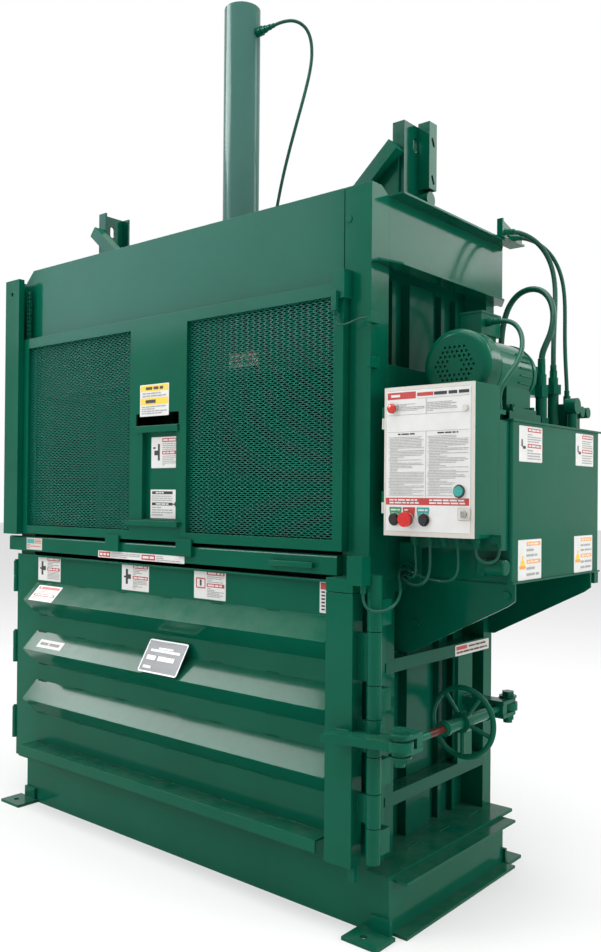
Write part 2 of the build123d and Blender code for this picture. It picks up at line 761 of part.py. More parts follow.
def handwheel():
    """The five-spoked handwheel on the sleeve."""
    rim = Pos(turn_x, wheel_y, turn_z) * Rot(90, 0, 0) * Torus(wheel_r, 8)
    hub = bar_y(turn_x, wheel_y - 14, wheel_y + 14, turn_z, 30)
    wheel = rim + hub
    for n in range(5):
        spoke = Pos(58, 0, 0) * Rot(0, 90, 0) * Cylinder(6.5, 76)
        turned = Pos(turn_x, wheel_y, turn_z) * Rot(0, 72 * n + 18, 0) * spoke
        wheel = wheel + turned
    return wheel - bar_y(turn_x, wheel_y - 15, wheel_y + 15, turn_z, sleeve_r + fit)


# Power unit
def unit_shelf():
    """The shelf under the tank with its gussets, and the plate behind the control box."""
    x1 = tank_right + 11
    z1 = tank_z - 5
    slope = [(wall_x, tank_z - gusset_h), (wall_x + 102, tank_z - gusset_h), (x1 - 20, z1 - 60), (x1, z1 - 45), (x1, z1), (wall_x, z1)]
    rail_slot = block(out_x - 56, out_x + 1, tank_front, tank_front + 9, tank_z - 45, z1)
    front = prism_y(slope, tank_front, tank_front + 8) - rail_slot
    shelf = block(out_x, x1 - 6, tank_front, tank_back, z1, tank_z)
    rear_slope = [(out_x - skin_t, tank_z - gusset_h), (wall_x + 102, tank_z - gusset_h), (x1 - 20, z1 - 60), (x1, z1 - 45), (x1, z1),
                  (out_x - skin_t, z1)]
    rear = prism_y(rear_slope, in_y - 16, in_y - 8)
    foot = block(tank_right - 40, tank_right, tank_back - 30, tank_back, z1 - 36, z1)
    plate = block(box_x, box_right, box_y + box_d, box_y + box_d + 6, plate_low, box_top)
    for x0 in (box_x, box_right - 6):
        plate = plate + block(x0, x0 + 6, box_y + box_d + 6, tank_front, plate_low, tank_top)
    back = box_y + box_d
    plate = plate + block(ring_x - 36, ring_x + 36, back, back + 6, ring_z - 34, plate_low + 12)
    plate = plate + bar_y(ring_x, back - 16, back, ring_z, 26) - bar_y(ring_x, back - 17, back - 8, ring_z, 21)
    plate = plate + block(box_right - 26, box_right, back + 6, back + 39, motor_z - 142, motor_z - 130)
    plate = plate + bar_z(box_right - 13, back + 23, motor_z - 130, motor_z - 120, 10)
    return [front + shelf + rear + foot, plate]


def tank():
    """The oil tank: a welded box with rounded uprights."""
    outer = block(tank_x, tank_right, tank_front, tank_back, tank_z, tank_top)
    outer = fillet(outer.edges().filter_by(Axis.Z), 8)
    return outer - block(tank_x + 4, tank_right - 4, tank_front + 4, tank_back - 4, tank_z + 4, tank_top)


def tank_lid():
    """The lid with the two rails that the motor stands on."""
    lid = block(tank_x - 6, tank_right + 6, tank_front - 6, tank_back + 6, tank_top, lid_z)
    for x in (motor_x - 100, motor_x + 70):
        rail = block(x, x + 30, -80, 120, lid_z, lid_z + 32)
        lid = lid + rail - block(x + 4, x + 26, -81, 121, lid_z, lid_z + 28)
    return lid


def motor_body():
    """The motor's frame with end bells, feet, cooling fins and shaft."""
    body = bar_y(motor_x, motor_front, motor_back, motor_z, motor_r)
    rims = body.edges().filter_by(GeomType.CIRCLE).group_by(Axis.Y)[-1]
    body = fillet(rims, 20)
    body = body + bar_y(motor_x, motor_front + 34, motor_front + 40, motor_z, motor_r + 3)
    body = body + bar_y(motor_x, motor_back - 40, motor_back - 34, motor_z, motor_r + 3)
    for x in (-60, 60):
        body = body + block(motor_x + x - 20, motor_x + x + 20, -60, 90, lid_z + 44, motor_z - 40)
    body = body + block(motor_x - 100, motor_x + 100, -60, 90, lid_z + 32, lid_z + 44)
    for n in range(5):
        for side in (-1, 1):
            x = motor_x + side * (motor_r - 2) * cos(radians(35 - 14 * n))
            z = motor_z + (motor_r - 2) * sin(radians(35 - 14 * n))
            fin = block(x - 3 if side > 0 else x - 6, x + 6 if side > 0 else x + 3, 0, 75, z - 2, z + 2)
            body = body + fin
    shaft = bar_y(motor_x, fan_cover_front + 15, motor_front, motor_z, 11)
    flange = bar_y(motor_x, motor_back, motor_back + 30, motor_z, 62)
    return body + shaft + flange


def fan_cover():
    """The fan cover: a drawn cup with a hexagon field of air holes round a plain centre."""
    outer = bar_y(motor_x, fan_cover_front, motor_front, motor_z, fan_cover_r)
    rim = outer.edges().filter_by(GeomType.CIRCLE).group_by(Axis.Y)[0]
    outer = fillet(rim, 22)
    inner = bar_y(motor_x, fan_cover_front + 3, motor_front, motor_z, fan_cover_r - 4)
    rim = inner.edges().filter_by(GeomType.CIRCLE).group_by(Axis.Y)[0]
    cup = outer - fillet(rim, 20)
    ring = bar_y(motor_x, motor_front, motor_front + 12, motor_z, fan_cover_r)
    cup = cup + ring - bar_y(motor_x, motor_front - 1, motor_front + 13, motor_z, motor_r)
    holes = []
    step = 15.0
    for row in range(-4, 5):
        for column in range(-4, 5):
            ring_n = max(abs(row), abs(column), abs(row + column))
            if 2 <= ring_n <= 4:
                x = step * (column + row / 2)
                z = step * 0.866 * row
                hole = Pos(motor_x + x, fan_cover_front - 1, motor_z + z) * Rot(90, 0, 0)
                holes.append(hole * extrude(RegularPolygon(5.6, 3), -6))
    return cup - holes


def motor_fan():
    """The fan: a hub on the shaft and seven blades."""
    y = (fan_cover_front + 18, motor_front - 8)
    hub = bar_y(motor_x, *y, motor_z, 26)
    fan = hub
    for n in range(7):
        blade = block(20, 86, y[0], y[1], -2, 2)
        fan = fan + Pos(motor_x, 0, motor_z) * Rot(0, 360 / 7 * n, 0) * blade
    return fan - bar_y(motor_x, y[0] - 1, y[1] + 1, motor_z, 11 + fit)


def junction_box():
    """The terminal box on the motor, with its lid and conduit elbow."""
    x = motor_x - 17
    y = (-95, 20)
    neck = block(x - 28, x + 28, y[0] + 15, y[1] - 15, motor_z + 70, motor_z + 106)
    neck = neck - bar_y(motor_x, -200, 200, motor_z, motor_r + fit)
    box = block(x - 34, x + 34, *y, motor_z + 106, motor_z + 166)
    lid = block(x - 36, x + 36, y[0] - 2, y[1] + 2, motor_z + 166, motor_z + 172)
    gland = bar_x(x + 34, x + 51, -62, motor_z + 141, 12) + bar_x(x + 51, x + 59, -62, motor_z + 141, 9)
    return neck + box + lid + gland


def pump():
    """The gear pump behind the motor, with its inlet pipe down to the lid."""
    body = bar_y(motor_x, motor_back + 30, motor_back + 55, motor_z, 50)
    body = body + block(motor_x - 32, motor_x + 32, motor_back + 55, motor_back + 150, motor_z - 46,
                        motor_z + 46)
    pipe = bar_z(motor_x - 8, motor_back + 100, lid_z, motor_z - 46, 18)
    outlet = hex_z(motor_x, motor_back + 98, motor_z + 46, motor_z + 60, 16)
    return body + pipe + outlet


def valve_block():
    """The valve block on the lid with two solenoid coils and a port."""
    body = block(tank_right - 120, tank_right - 60, 330, 420, lid_z, lid_z + 86)
    coils = bar_x(tank_right - 60, tank_right - 22, 352, lid_z + 60, 17)
    coils = coils + bar_x(tank_right - 60, tank_right - 22, 398, lid_z + 60, 17)
    port = hex_z(tank_right - 90, tank_front + 558, lid_z + 86, lid_z + 116, 13)
    return body + coils + port


def tank_fittings():
    """Risers, unions and the filter head that stand on the lid."""
    spot = (tank_right - 70, tank_front + 327)
    stack = hex_z(*spot, lid_z, lid_z + 28, 24) + bar_z(*spot, lid_z + 28, lid_z + 90, 17)
    stack = stack + hex_z(*spot, lid_z + 90, lid_z + 125, 22)
    stack = stack + bar_z(*spot, lid_z + 125, lid_z + 160, 15)
    stack = stack + hex_z(*spot, lid_z + 160, lid_z + 189, 13)
    spot = (tank_right - 90, tank_front + 455)
    union = bar_z(*spot, lid_z, lid_z + 112, 17) + hex_z(*spot, lid_z + 112, lid_z + 142, 26)
    union = union + bar_z(*spot, lid_z + 142, lid_z + 165, 15)
    union = union + hex_z(*spot, lid_z + 165, lid_z + 187, 13)
    spot = (tank_x + 50, 262)
    loop = hex_z(*spot, lid_z, lid_z + 30, 18) + bar_z(*spot, lid_z + 30, lid_z + 66, 14)
    head = bar_z(tank_right - 34, 300, lid_z, lid_z + 50, 15)
    head = head + bar_x(tank_right - 52, tank_right - 16, 300, lid_z + 74, 25)
    breather = bar_z(loop_x, 160, lid_z, lid_z + 26, 18) + bar_z(loop_x, 160, lid_z + 26, lid_z + 50, 26)
    return [stack, union, loop, head, breather]


def oil_filter():
    """The drain filter beside the control box: a can lying along the tank, its head and pipe."""
    x = tank_right - 55
    y = tank_front - 25.5
    z = tank_z + 41
    can = bar_x(x, tank_right, y, z, 22)
    can = fillet(can.edges().filter_by(GeomType.CIRCLE).group_by(Axis.X)[-1], 6)
    head = block(x - 22, x, y - 22, y + 22, z - 22, z + 22)
    return can + head + bar_y(x - 11, y + 22, tank_front, z, 12)


def control_box():
    """The open-fronted box with a cable ring on its underside."""
    y0 = box_y + plate_t + 1
    outer = block(box_x, box_right, y0, box_y + box_d, box_z, box_top)
    box = outer - block(box_x + 3, box_right - 3, y0 - 1, box_y + box_d - 3, box_z + 3, box_top - 3)
    for z in (90.5, 320.5):
        box = box + bar_z(box_x - 4.5, box_y + 2, box_z + z, box_z + z + 30, 4)
        box = box + block(box_x - 7, box_x, box_y + 4, box_y + 24, box_z + z, box_z + z + 30)
    return box


gland_x = (61.0, 109.0, 153.0, 195.0, 248.0)


def cable_glands():
    """The glands under the control box."""
    pieces = []
    for x in gland_x:
        nut = hex_z(box_x + x, box_y + 64, box_z - 14, box_z, 13)
        pieces.append(nut + bar_z(box_x + x, box_y + 64, box_z - 26, box_z - 14, 9))
    return pieces


hose_slant = 36.87
hose_fittings = ((skin_back_y - 104.4, skin_top + 24), (skin_back_y - 47.4, skin_top + 16))
button_spots = {"start_button": (36.0, 45.0), "stop_button": (79.0, 45.0), "lower_button": (131.0, 45.0),
                "lit_button": (236.0, 121.0)}


def panel_door():
    """The box's hinged front with bezels, pilot lamp, lock and hinge."""
    plate = block(box_x, box_right, box_y, box_y + plate_t, box_z, box_top)
    for x, z in button_spots.values():
        plate = plate + bar_y(box_x + x, box_y - 4, box_y, box_z + z, 18)
    for x, z in button_spots.values():
        plate = plate - bar_y(box_x + x, box_y - 5, box_y + plate_t + 1, box_z + z, 13.5)
    plate = plate + bar_y(box_x + 28, box_y - 9, box_y, box_z + 345, 13)
    plate = plate + bar_y(box_x + 252, box_y - 5, box_y, box_z + 337, 8)
    plate = plate + block(box_x + 233, box_x + 268, box_y - 3, box_y, box_z + 47, box_z + 78)
    plate = plate - bar_y(box_x + 250, box_y - 4, box_y + plate_t + 1, box_z + 62, 9 + fit)
    for z in (60.0, 290.0):
        plate = plate + bar_z(box_x - 4.5, box_y + 2, box_z + z, box_z + z + 30, 4)
        plate = plate + block(box_x - 4.5, box_x, box_y, box_y + 4, box_z + z, box_z + z + 30)
    return plate


def push_button(name):
    """One cap on its stem, which slides through the panel."""
    x, z = button_spots[name]
    stem = bar_y(box_x + x, box_y - 4, box_y + 22, box_z + z, 13.2)
    if name == "stop_button":
        cap = bar_y(box_x + x, box_y - 22, box_y - 12, box_z + z, 20)
        return stem + bar_y(box_x + x, box_y - 13, box_y - 4, box_z + z, 10) + cap
    return stem + bar_y(box_x + x, box_y - 11, box_y - 4, box_z + z, 13.2)


def key_switch():
    """The key switch barrel with its key blade."""
    barrel = bar_y(box_x + 250, box_y - 8, box_y + 20, box_z + 62, 9)
    return barrel + block(box_x + 248.5, box_x + 251.5, box_y - 24, box_y - 8, box_z + 54, box_z + 70)


def door_switch():
    """The door's limit switch beside the keeper, with its bracket and gland."""
    x0 = out_x + 2
    y0 = hinge_y - 63
    plate = block(out_x, x0, y0, face_y + 31, sill_z - 2, sill_z + 53)
    box = block(x0, x0 + 48, y0, y0 + 40, sill_z - 15, sill_z + 63)
    gland = bar_z(x0 + 36, y0 + 23, sill_z - 37, sill_z - 15, 8)
    return plate + box + gland


def hose_bracket():
    """The angle on the rear top corner, with an end tab and two slanting hose fittings."""
    x = out_x + 44
    z = skin_top + 6
    y0 = skin_back_y - 124
    y1 = skin_back_y + 46
    web = prism_x([(y0, z), (y1, z), (y1, z + 22), (y0 + 40, z + 58), (y0, z + 58)], x, x + 6)
    foot = block(out_x + 5, out_x + 60, y0, y1, z, z + 6)
    tab = block(x + 6, x + 20, y0, y0 + 10, z + 6, z + 58)
    bracket = web + foot + tab
    for y, height in hose_fittings:
        way = Pos(x + 4, y - 1.5, height) * Rot(0, 0, hose_slant) * Rot(0, 90, 0)
        bracket = bracket + way * Pos(0, 0, 13.25) * Cylinder(11, 26.5)
        bracket = bracket + bar_z(x + 13, y + 5, z + 6, height, 5)
    return bracket


# Cords
def cord(points, width):
    """A round hose along straight runs joined by arcs that touch both."""
    spots = [Vector(*p) for p in points]
    edges = []
    radii = []
    start = spots[0]
    for before, corner, after in zip(spots, spots[1:], spots[2:]):
        way_in = (corner - before).normalized()
        way_out = (after - corner).normalized()
        half_turn = way_in.get_angle(way_out) / 2
        reach = 0.45 * min((corner - before).length, (after - corner).length)
        radius = reach / tan(radians(half_turn))
        first = corner - way_in * reach
        last = corner + way_out * reach
        inward = (way_out - way_in).normalized()
        middle = corner + inward * (radius / cos(radians(half_turn)) - radius)
        edges.append(Line(start, first))
        edges.append(ThreePointArc(first, middle, last))
        start = last
        radii.append(round(radius))
    edges.append(Line(start, spots[-1]))
    path = Wire(edges)
    profile = Plane(origin=path @ 0, z_dir=path % 0) * Circle(width / 2)
    tube = sweep(profile, path=path)
    share = tube.volume / (pi * width * width / 4 * path.length)
    print("bend radii", radii, "length", round(path.length), "volume share", round(share, 3))
    return tube


cylinder_hose_route = [
    (131, 10, port_z), (150, 10, port_z), (169, 17, port_z + 5), (187, 32, port_z + 12), (203, 53, port_z + 17),
    (217, 76, port_z + 13), (228, 97, port_z - 2), (234, 112, port_z - 28), (236, 120, port_z - 64),
    (232, 124, port_z - 110), (221, 124, port_z - 160), (206, 122.5, port_z - 210), (189, 120.5, port_z - 262),
    (170, 118.5, port_z - 316), (150, 117.5, port_z - 372), (130, 117, port_z - 428), (111, 117.2, port_z - 484),
    (94, 118, port_z - 538), (80, 119, port_z - 588), (69, 119.8, port_z - 630), (62, 120.3, body_h + 156),
    (60, 120, body_h + 130), (60, 120, body_h + 105)]
pressure_hose_route = [
    (out_x + 69.2, skin_back_y - 90, skin_top + 24), (out_x + 87.6, skin_back_y - 76.2, skin_top + 24),
    (out_x + 115.8, skin_back_y - 57.4, skin_top + 11.9),
    (out_x + 141, skin_back_y - 42, skin_top - 8.1),
    (out_x + 162.2, skin_back_y - 30.8, skin_top - 34.8),
    (out_x + 179.1, skin_back_y - 24.5, skin_top - 66.6),
    (out_x + 191.8, skin_back_y - 23.5, skin_top - 101.7),
    (out_x + 201.2, skin_back_y - 27.5, skin_top - 138.6),
    (out_x + 208.3, skin_back_y - 35.5, skin_top - 176.3),
    (out_x + 214.1, skin_back_y - 46.7, skin_top - 214),
    (out_x + 219.3, skin_back_y - 60, skin_top - 251.3),
    (out_x + 224.6, skin_back_y - 74.8, skin_top - 288),
    (out_x + 230.1, skin_back_y - 90.1, skin_top - 324.3),
    (union_x - 9.1, tank_front + 476.2, lid_z + 282.7),
    (union_x - 3.9, tank_front + 463.6, lid_z + 246.6), (union_x, tank_front + 455, lid_z + 210),
    (union_x, tank_front + 455, lid_z + 187)]
return_hose_route = [
    (out_x + 69.2, skin_back_y - 33, skin_top + 16), (out_x + 87.6, skin_back_y - 19.2, skin_top + 16),
    (out_x + 116.9, skin_back_y - 1.1, skin_top + 3.8),
    (out_x + 143.3, skin_back_y + 13.7, skin_top - 16.5),
    (out_x + 165.4, skin_back_y + 25, skin_top - 43.6),
    (out_x + 182.9, skin_back_y + 32.2, skin_top - 76.1),
    (out_x + 196, skin_back_y + 35.2, skin_top - 112.2),
    (out_x + 205.3, skin_back_y + 34.2, skin_top - 150.5),
    (out_x + 211.8, skin_back_y + 30, skin_top - 189.9),
    (out_x + 216.4, skin_back_y + 23.6, skin_top - 229.7),
    (out_x + 220.1, skin_back_y + 16, skin_top - 269.4),
    (out_x + 223.6, skin_back_y + 7.8, skin_top - 308.9),
    (out_x + 227.6, skin_back_y - 0.3, skin_top - 348.2),
    (out_x + 232.1, skin_back_y - 7.9, skin_top - 387.3),
    (union_x - 8, tank_front + 566.5, lid_z + 216.7),
    (union_x - 3.4, tank_front + 561.3, lid_z + 177.8), (union_x, tank_front + 558, lid_z + 139),
    (union_x, tank_front + 558, lid_z + 116)]
loop_hose_route = [
    (loop_x, 262, lid_z + 66), (loop_x, 262, lid_z + 121), (loop_x - 2, 262.5, lid_z + 183),
    (loop_x - 3, 262.8, lid_z + 246), (loop_x, 262.5, lid_z + 308), (loop_x + 10, 261, lid_z + 366),
    (loop_x + 32, 257, lid_z + 412), (loop_x + 68, 250, lid_z + 441), (loop_x + 112, 241, lid_z + 448),
    (loop_x + 154, 230, lid_z + 435), (loop_x + 186, 216, lid_z + 405), (loop_x + 206, 200, lid_z + 365),
    (loop_x + 214, 184, lid_z + 322), (loop_x + 211, 170, lid_z + 282), (loop_x + 200, 159, lid_z + 248),
    (stack_x, stack_y, lid_z + 218), (stack_x, stack_y, lid_z + 189)]
motor_conduit_route = [
    (motor_x + 42, -62, motor_z + 141), (motor_x + 64, -62, motor_z + 141),
    (motor_x + 96.8, -64.4, motor_z + 133.8), (motor_x + 122.1, -73.3, motor_z + 112.6),
    (motor_x + 140.1, -87.5, motor_z + 84), (motor_x + 150.9, -106.3, motor_z + 52.8),
    (motor_x + 155, -128.8, motor_z + 21.9), (motor_x + 152.6, -153.8, motor_z - 7.6),
    (motor_x + 145.2, -178.7, motor_z - 36), (motor_x + 136.3, -198.7, motor_z - 65.2),
    (box_right - 13, box_y + 155, motor_z - 98), (box_right - 13, box_y + 155, motor_z - 120)]
gate_conduit_route = [
    (gate_right - 20, gate_face_y - 15, gate_top - 95), (gate_right - 20, gate_face_y - 15, gate_top - 105),
    (gate_right - 17, gate_face_y - 14.5, gate_top - 115), (gate_right - 10, gate_face_y - 13, gate_top - 122),
    (gate_right, gate_face_y - 10, gate_top - 125), (gate_right + 11, gate_face_y - 6, gate_top - 124),
    (gate_right + 23, gate_face_y, gate_top - 119), (gate_right + 36, gate_face_y + 7, gate_top - 113),
    (gate_right + 49, gate_face_y + 15, gate_top - 108), (out_x - 12, face_y - 10, gate_top - 107),
    (out_x, face_y - 10, gate_top - 107)]
door_cable_route = [
    (out_x + 38, hinge_y - 40, sill_z - 37), (out_x + 38, hinge_y - 40, sill_z - 55),
    (out_x + 47.7, hinge_y - 37.6, sill_z - 75.6), (out_x + 67.3, hinge_y - 29.5, sill_z - 83.9),
    (out_x + 87.1, hinge_y - 15.9, sill_z - 82.2), (out_x + 100.4, hinge_y + 2, sill_z - 73.5),
    (out_x + 104.3, hinge_y + 22.5, sill_z - 61), (out_x + 99.5, hinge_y + 43.9, sill_z - 46.9),
    (out_x + 88.2, hinge_y + 64.7, sill_z - 32.1), (out_x + 73.2, hinge_y + 84.4, sill_z - 16.7),
    (out_x + 57.6, hinge_y + 103.3, sill_z - 1.3), (ring_x - 4.3, box_y + 82.8, ring_z + 0.3),
    (ring_x - 10, box_y + 106, ring_z + 7), (ring_x - 10, box_y + 124, ring_z + 7)]
first_cable_route = [
    (box_x + 61, box_y + 64, box_z - 26), (box_x + 61, box_y + 64, box_z - 42),
    (box_x + 63.7, box_y + 63.3, box_z - 67), (box_x + 66.1, box_y + 62.6, box_z - 89.4),
    (box_x + 62.8, box_y + 63.4, box_z - 106.9), (box_x + 51.7, box_y + 67.2, box_z - 117.1),
    (box_x + 34.7, box_y + 74.9, box_z - 119.3), (ring_x + 16.6, box_y + 87.7, ring_z - 10.1),
    (ring_x + 8, box_y + 108, ring_z - 7), (ring_x + 8, box_y + 124, ring_z - 7)]
second_cable_route = [
    (box_x + 109, box_y + 64, box_z - 26), (box_x + 109, box_y + 64, box_z - 42),
    (box_x + 110.8, box_y + 62.6, box_z - 68.6), (box_x + 110.8, box_y + 59.8, box_z - 93.8),
    (box_x + 105, box_y + 57.5, box_z - 115.3), (box_x + 91.4, box_y + 56.9, box_z - 130.5),
    (box_x + 71, box_y + 58.9, box_z - 137.6), (box_x + 46.3, box_y + 63.9, box_z - 136.4),
    (box_x + 21.4, box_y + 72.8, box_z - 128.9), (ring_x, box_y + 86.7, ring_z - 13.4),
    (ring_x - 9, box_y + 108, ring_z - 8), (ring_x - 9, box_y + 124, ring_z - 8)]
third_cable_route = [
    (box_x + 195, box_y + 64, box_z - 26), (box_x + 195, box_y + 64, box_z - 42),
    (box_x + 194.9, box_y + 66.4, box_z - 67.9), (box_x + 190.6, box_y + 71.8, box_z - 90.7),
    (box_x + 179.2, box_y + 78.1, box_z - 108.5), (box_x + 160.6, box_y + 83.6, box_z - 119.8),
    (box_x + 136.2, box_y + 87.4, box_z - 124.5), (box_x + 107.7, box_y + 88.9, box_z - 123.2),
    (box_x + 76.9, box_y + 88.5, box_z - 117.2), (box_x + 46.6, box_y + 88.1, box_z - 108.9),
    (ring_x + 20.4, box_y + 91.9, ring_z + 4.5), (ring_x + 9, box_y + 108, ring_z + 8),
    (ring_x + 9, box_y + 124, ring_z + 8)]
box_conduit_route = [
    (box_x + 248, box_y + 64, box_z - 26), (box_x + 248, box_y + 64, box_z - 45),
    (box_x + 258, box_y + 70, box_z - 61), (box_x + 273.5, box_y + 80.5, box_z - 67),
    (box_x + 289, box_y + 91, box_z - 61), (box_right + 22, box_y + 97, box_z - 45),
    (box_right + 22, box_y + 97, box_z - 26)]


# Fasteners and clips
def fasteners():
    """Bolt heads, nuts and conduit clips on the fixed body."""
    heads = [bar_y(half_w + 14, face_y - gate_gap + 0.6, face_y, body_h - 92, 11)]
    for x in (wall_x + 121, tank_right - 12):
        z = 832 if x < tank_right - 50 else tank_z - 35
        heads.append(hex_y(x, tank_front - 8, tank_front, z, 12))
    for y in (78.0, -48.0):
        for x in (motor_x - 91, motor_x + 91):
            heads.append(hex_z(x, y, lid_z + 44, lid_z + 53, 9))
    for x in (-125, 125):
        for y in (-125, 125):
            heads.append(hex_z(x, y, body_h + 25, body_h + 40, 15))
    for z in (gate_top - 122, gate_top - 246):
        heads.append(block(out_x, out_x + 12, face_y - 20, face_y + 24, z, z + 30))
    elbow = block(box_right, box_right + 32, box_y + 87, box_y + 107, box_z - 14, box_z + 8)
    heads.append(elbow + bar_z(box_right + 22, box_y + 97, box_z - 26, box_z - 14, 8))
    return heads


# Build every node
os.makedirs("parts", exist_ok=True)
keep("base_frame", base_frame())
keep("floor_plate", floor_plate())
keep("side_walls", side_walls())
keep("back_wall", back_wall())
keep("corner_posts", corner_posts())
keep("side_frames", side_frames())
keep("side_skins", side_skins())
keep("front_panel", front_panel())
keep("top_frame", top_frame())
keep("guide_masts", guide_masts())
keep("mast_braces", mast_braces())
keep("cylinder_tube", cylinder_tube())
keep("cylinder_ports", cylinder_ports())
keep("piston_rod", piston_rod())
keep("platen", platen())
keep("gate_guide", gate_guide())
keep("gate_frame", gate_frame())
keep("gate_mesh", gate_mesh())
keep("gate_chain", gate_chain())
keep("sill_bar", sill_bar())
keep("door", door())
keep("door_hinge_pins", door_hinge_pins())
keep("latch_post", latch_post())
keep("latch_hinge_pins", latch_hinge_pins())
keep("latch_keeper", latch_keeper())
keep("turnbuckle_anchor", [turnbuckle_anchor(), rear_yoke()])
keep("front_yoke", front_yoke())
keep("turnbuckle_sleeve", turnbuckle_sleeve())
keep("handwheel", handwheel())
keep("unit_shelf", unit_shelf())
keep("tank", tank())
keep("tank_lid", tank_lid())
keep("motor_body", motor_body())
keep("fan_cover", fan_cover())
keep("motor_fan", motor_fan())
keep("junction_box", junction_box())
keep("pump_and_valve", [pump(), valve_block()])
keep("tank_fittings", tank_fittings())
keep("oil_filter", oil_filter())
keep("control_box", control_box())
keep("panel_door", panel_door())
for button in button_spots:
    keep(button, push_button(button))
keep("key_switch", key_switch())
keep("limit_switches", [gate_switch(), door_switch()])
keep("hose_bracket", hose_bracket())
keep("fasteners", fasteners() + cable_glands())
keep("cylinder_hose", cord(cylinder_hose_route, 12.0))
keep("pressure_hose", cord(pressure_hose_route, 16.0))
keep("return_hose", cord(return_hose_route, 13.0))
keep("loop_hose", cord(loop_hose_route, 19.0))
keep("motor_conduit", cord(motor_conduit_route, 14.0))
keep("gate_conduit", cord(gate_conduit_route, 6.0))
keep("door_cable", cord(door_cable_route, 8.0))
keep("first_cable", cord(first_cable_route, 6.5))
keep("second_cable", cord(second_cable_route, 8.0))
keep("third_cable", cord(third_cable_route, 7.0))
keep("box_conduit", cord(box_conduit_route, 8.0))
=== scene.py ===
"""Dresses a low vertical baler for a studio picture: paint, mesh, signs, welds, hoses and light."""
import logging
import math
import random
from collections.abc import Callable
from dataclasses import dataclass, field
from enum import Enum
from functools import cache

import bpy
from bpy.types import Material, Node, NodeSocket, NodeTree, Object
from mathutils import Matrix, Vector


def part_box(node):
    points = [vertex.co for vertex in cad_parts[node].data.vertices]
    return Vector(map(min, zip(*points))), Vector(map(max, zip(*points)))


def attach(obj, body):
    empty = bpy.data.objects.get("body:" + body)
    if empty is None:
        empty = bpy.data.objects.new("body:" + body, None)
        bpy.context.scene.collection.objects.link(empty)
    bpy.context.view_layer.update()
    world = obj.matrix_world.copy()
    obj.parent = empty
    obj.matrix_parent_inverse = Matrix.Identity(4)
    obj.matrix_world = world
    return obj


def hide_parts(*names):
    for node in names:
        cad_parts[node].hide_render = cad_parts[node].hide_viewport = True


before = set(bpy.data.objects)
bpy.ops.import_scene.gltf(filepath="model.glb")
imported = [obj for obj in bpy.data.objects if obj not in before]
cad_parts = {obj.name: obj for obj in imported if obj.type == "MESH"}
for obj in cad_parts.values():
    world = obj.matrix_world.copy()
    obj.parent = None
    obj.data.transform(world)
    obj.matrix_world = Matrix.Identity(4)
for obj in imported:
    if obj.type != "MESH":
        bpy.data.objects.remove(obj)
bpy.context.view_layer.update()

log = logging.getLogger("baler")
MM = 0.001
Triple = tuple[float, float, float]
Box = tuple[float, float, float, float]


class Ink(Enum):
    """The plain colours that the signs are printed in."""

    WHITE = (0.65, 0.65, 0.63)
    YELLOW = (0.80, 0.52, 0.02)
    RED = (0.42, 0.028, 0.024)
    BLACK = (0.012, 0.012, 0.014)
    GREEN = (0.02, 0.22, 0.10)
    TEAL = (0.03, 0.28, 0.26)
    GREY = (0.30, 0.30, 0.29)
    CREAM = (0.52, 0.49, 0.44)
    ORANGE = (0.75, 0.30, 0.03)


class Shows(Enum):
    """What a lamp does: it lights matt colour, shines in the gloss, or both."""

    LIGHT = "light"
    GLINT = "glint"
    BOTH = "both"


class Nodes:
    """Adds shader nodes to one tree and links them."""

    def __init__(self, tree: NodeTree) -> None:
        """Keep the tree of a material, a group or the world."""
        self.tree = tree

    def feed(self, node: Node, inputs: dict) -> None:
        """Set a node's inputs.

        Args:
            node: The node.
            inputs: Values or output sockets, by socket name or index.
        """
        for key, value in inputs.items():
            if isinstance(value, NodeSocket):
                self.tree.links.new(value, node.inputs[key])
            else:
                node.inputs[key].default_value = value

    def add(self, kind: str, inputs: dict | None = None, **settings: object) -> Node:
        """Add a node.

        Args:
            kind: The node's type name.
            inputs: Values or output sockets, by socket name or index.
            settings: Properties of the node itself.

        Returns:
            The new node.
        """
        node = self.tree.nodes.new(kind)
        for name, value in settings.items():
            setattr(node, name, value)
        self.feed(node, inputs or {})
        return node

    def mix(self, factor: NodeSocket, first: NodeSocket | Triple, second: NodeSocket | Triple) -> NodeSocket:
        """Mix two colours, the first at a factor of zero and the second at one."""
        ends = [colour if isinstance(colour, NodeSocket) else (*colour, 1) for colour in (first, second)]
        return self.add("ShaderNodeMix", {0: factor, 6: ends[0], 7: ends[1]}, data_type="RGBA").outputs[2]

    def maths(self, operation: str, *terms: NodeSocket | float, clamp: bool = False) -> NodeSocket:
        """Do one sum, whose result may be held between zero and one."""
        inputs = dict(enumerate(terms))
        return self.add("ShaderNodeMath", inputs, operation=operation, use_clamp=clamp).outputs[0]

    def ramp(self, value: NodeSocket, low: float, high: float) -> NodeSocket:
        """Stretch a value so that low becomes zero and high becomes one."""
        return self.add("ShaderNodeMapRange", {0: value, 1: low, 2: high}).outputs[0]

    def noise(self, place: NodeSocket, scale: NodeSocket | float, detail: float,
              rough: float = 0.5) -> NodeSocket:
        """Add a cloudy pattern with a number of finer layers, and say how strong those are."""
        inputs = {"Vector": place, "Scale": scale, "Detail": detail, "Roughness": rough}
        return self.add("ShaderNodeTexNoise", inputs).outputs[0]

    def parts(self, vector: NodeSocket) -> list[NodeSocket]:
        """Split a vector into its three numbers."""
        return list(self.add("ShaderNodeSeparateXYZ", {0: vector}).outputs)

    def group(self, tree: NodeTree, **inputs: NodeSocket | float) -> dict[str, NodeSocket]:
        """Place a shader group and give its outputs by name."""
        return dict(self.add("ShaderNodeGroup", inputs, node_tree=tree).outputs.items())


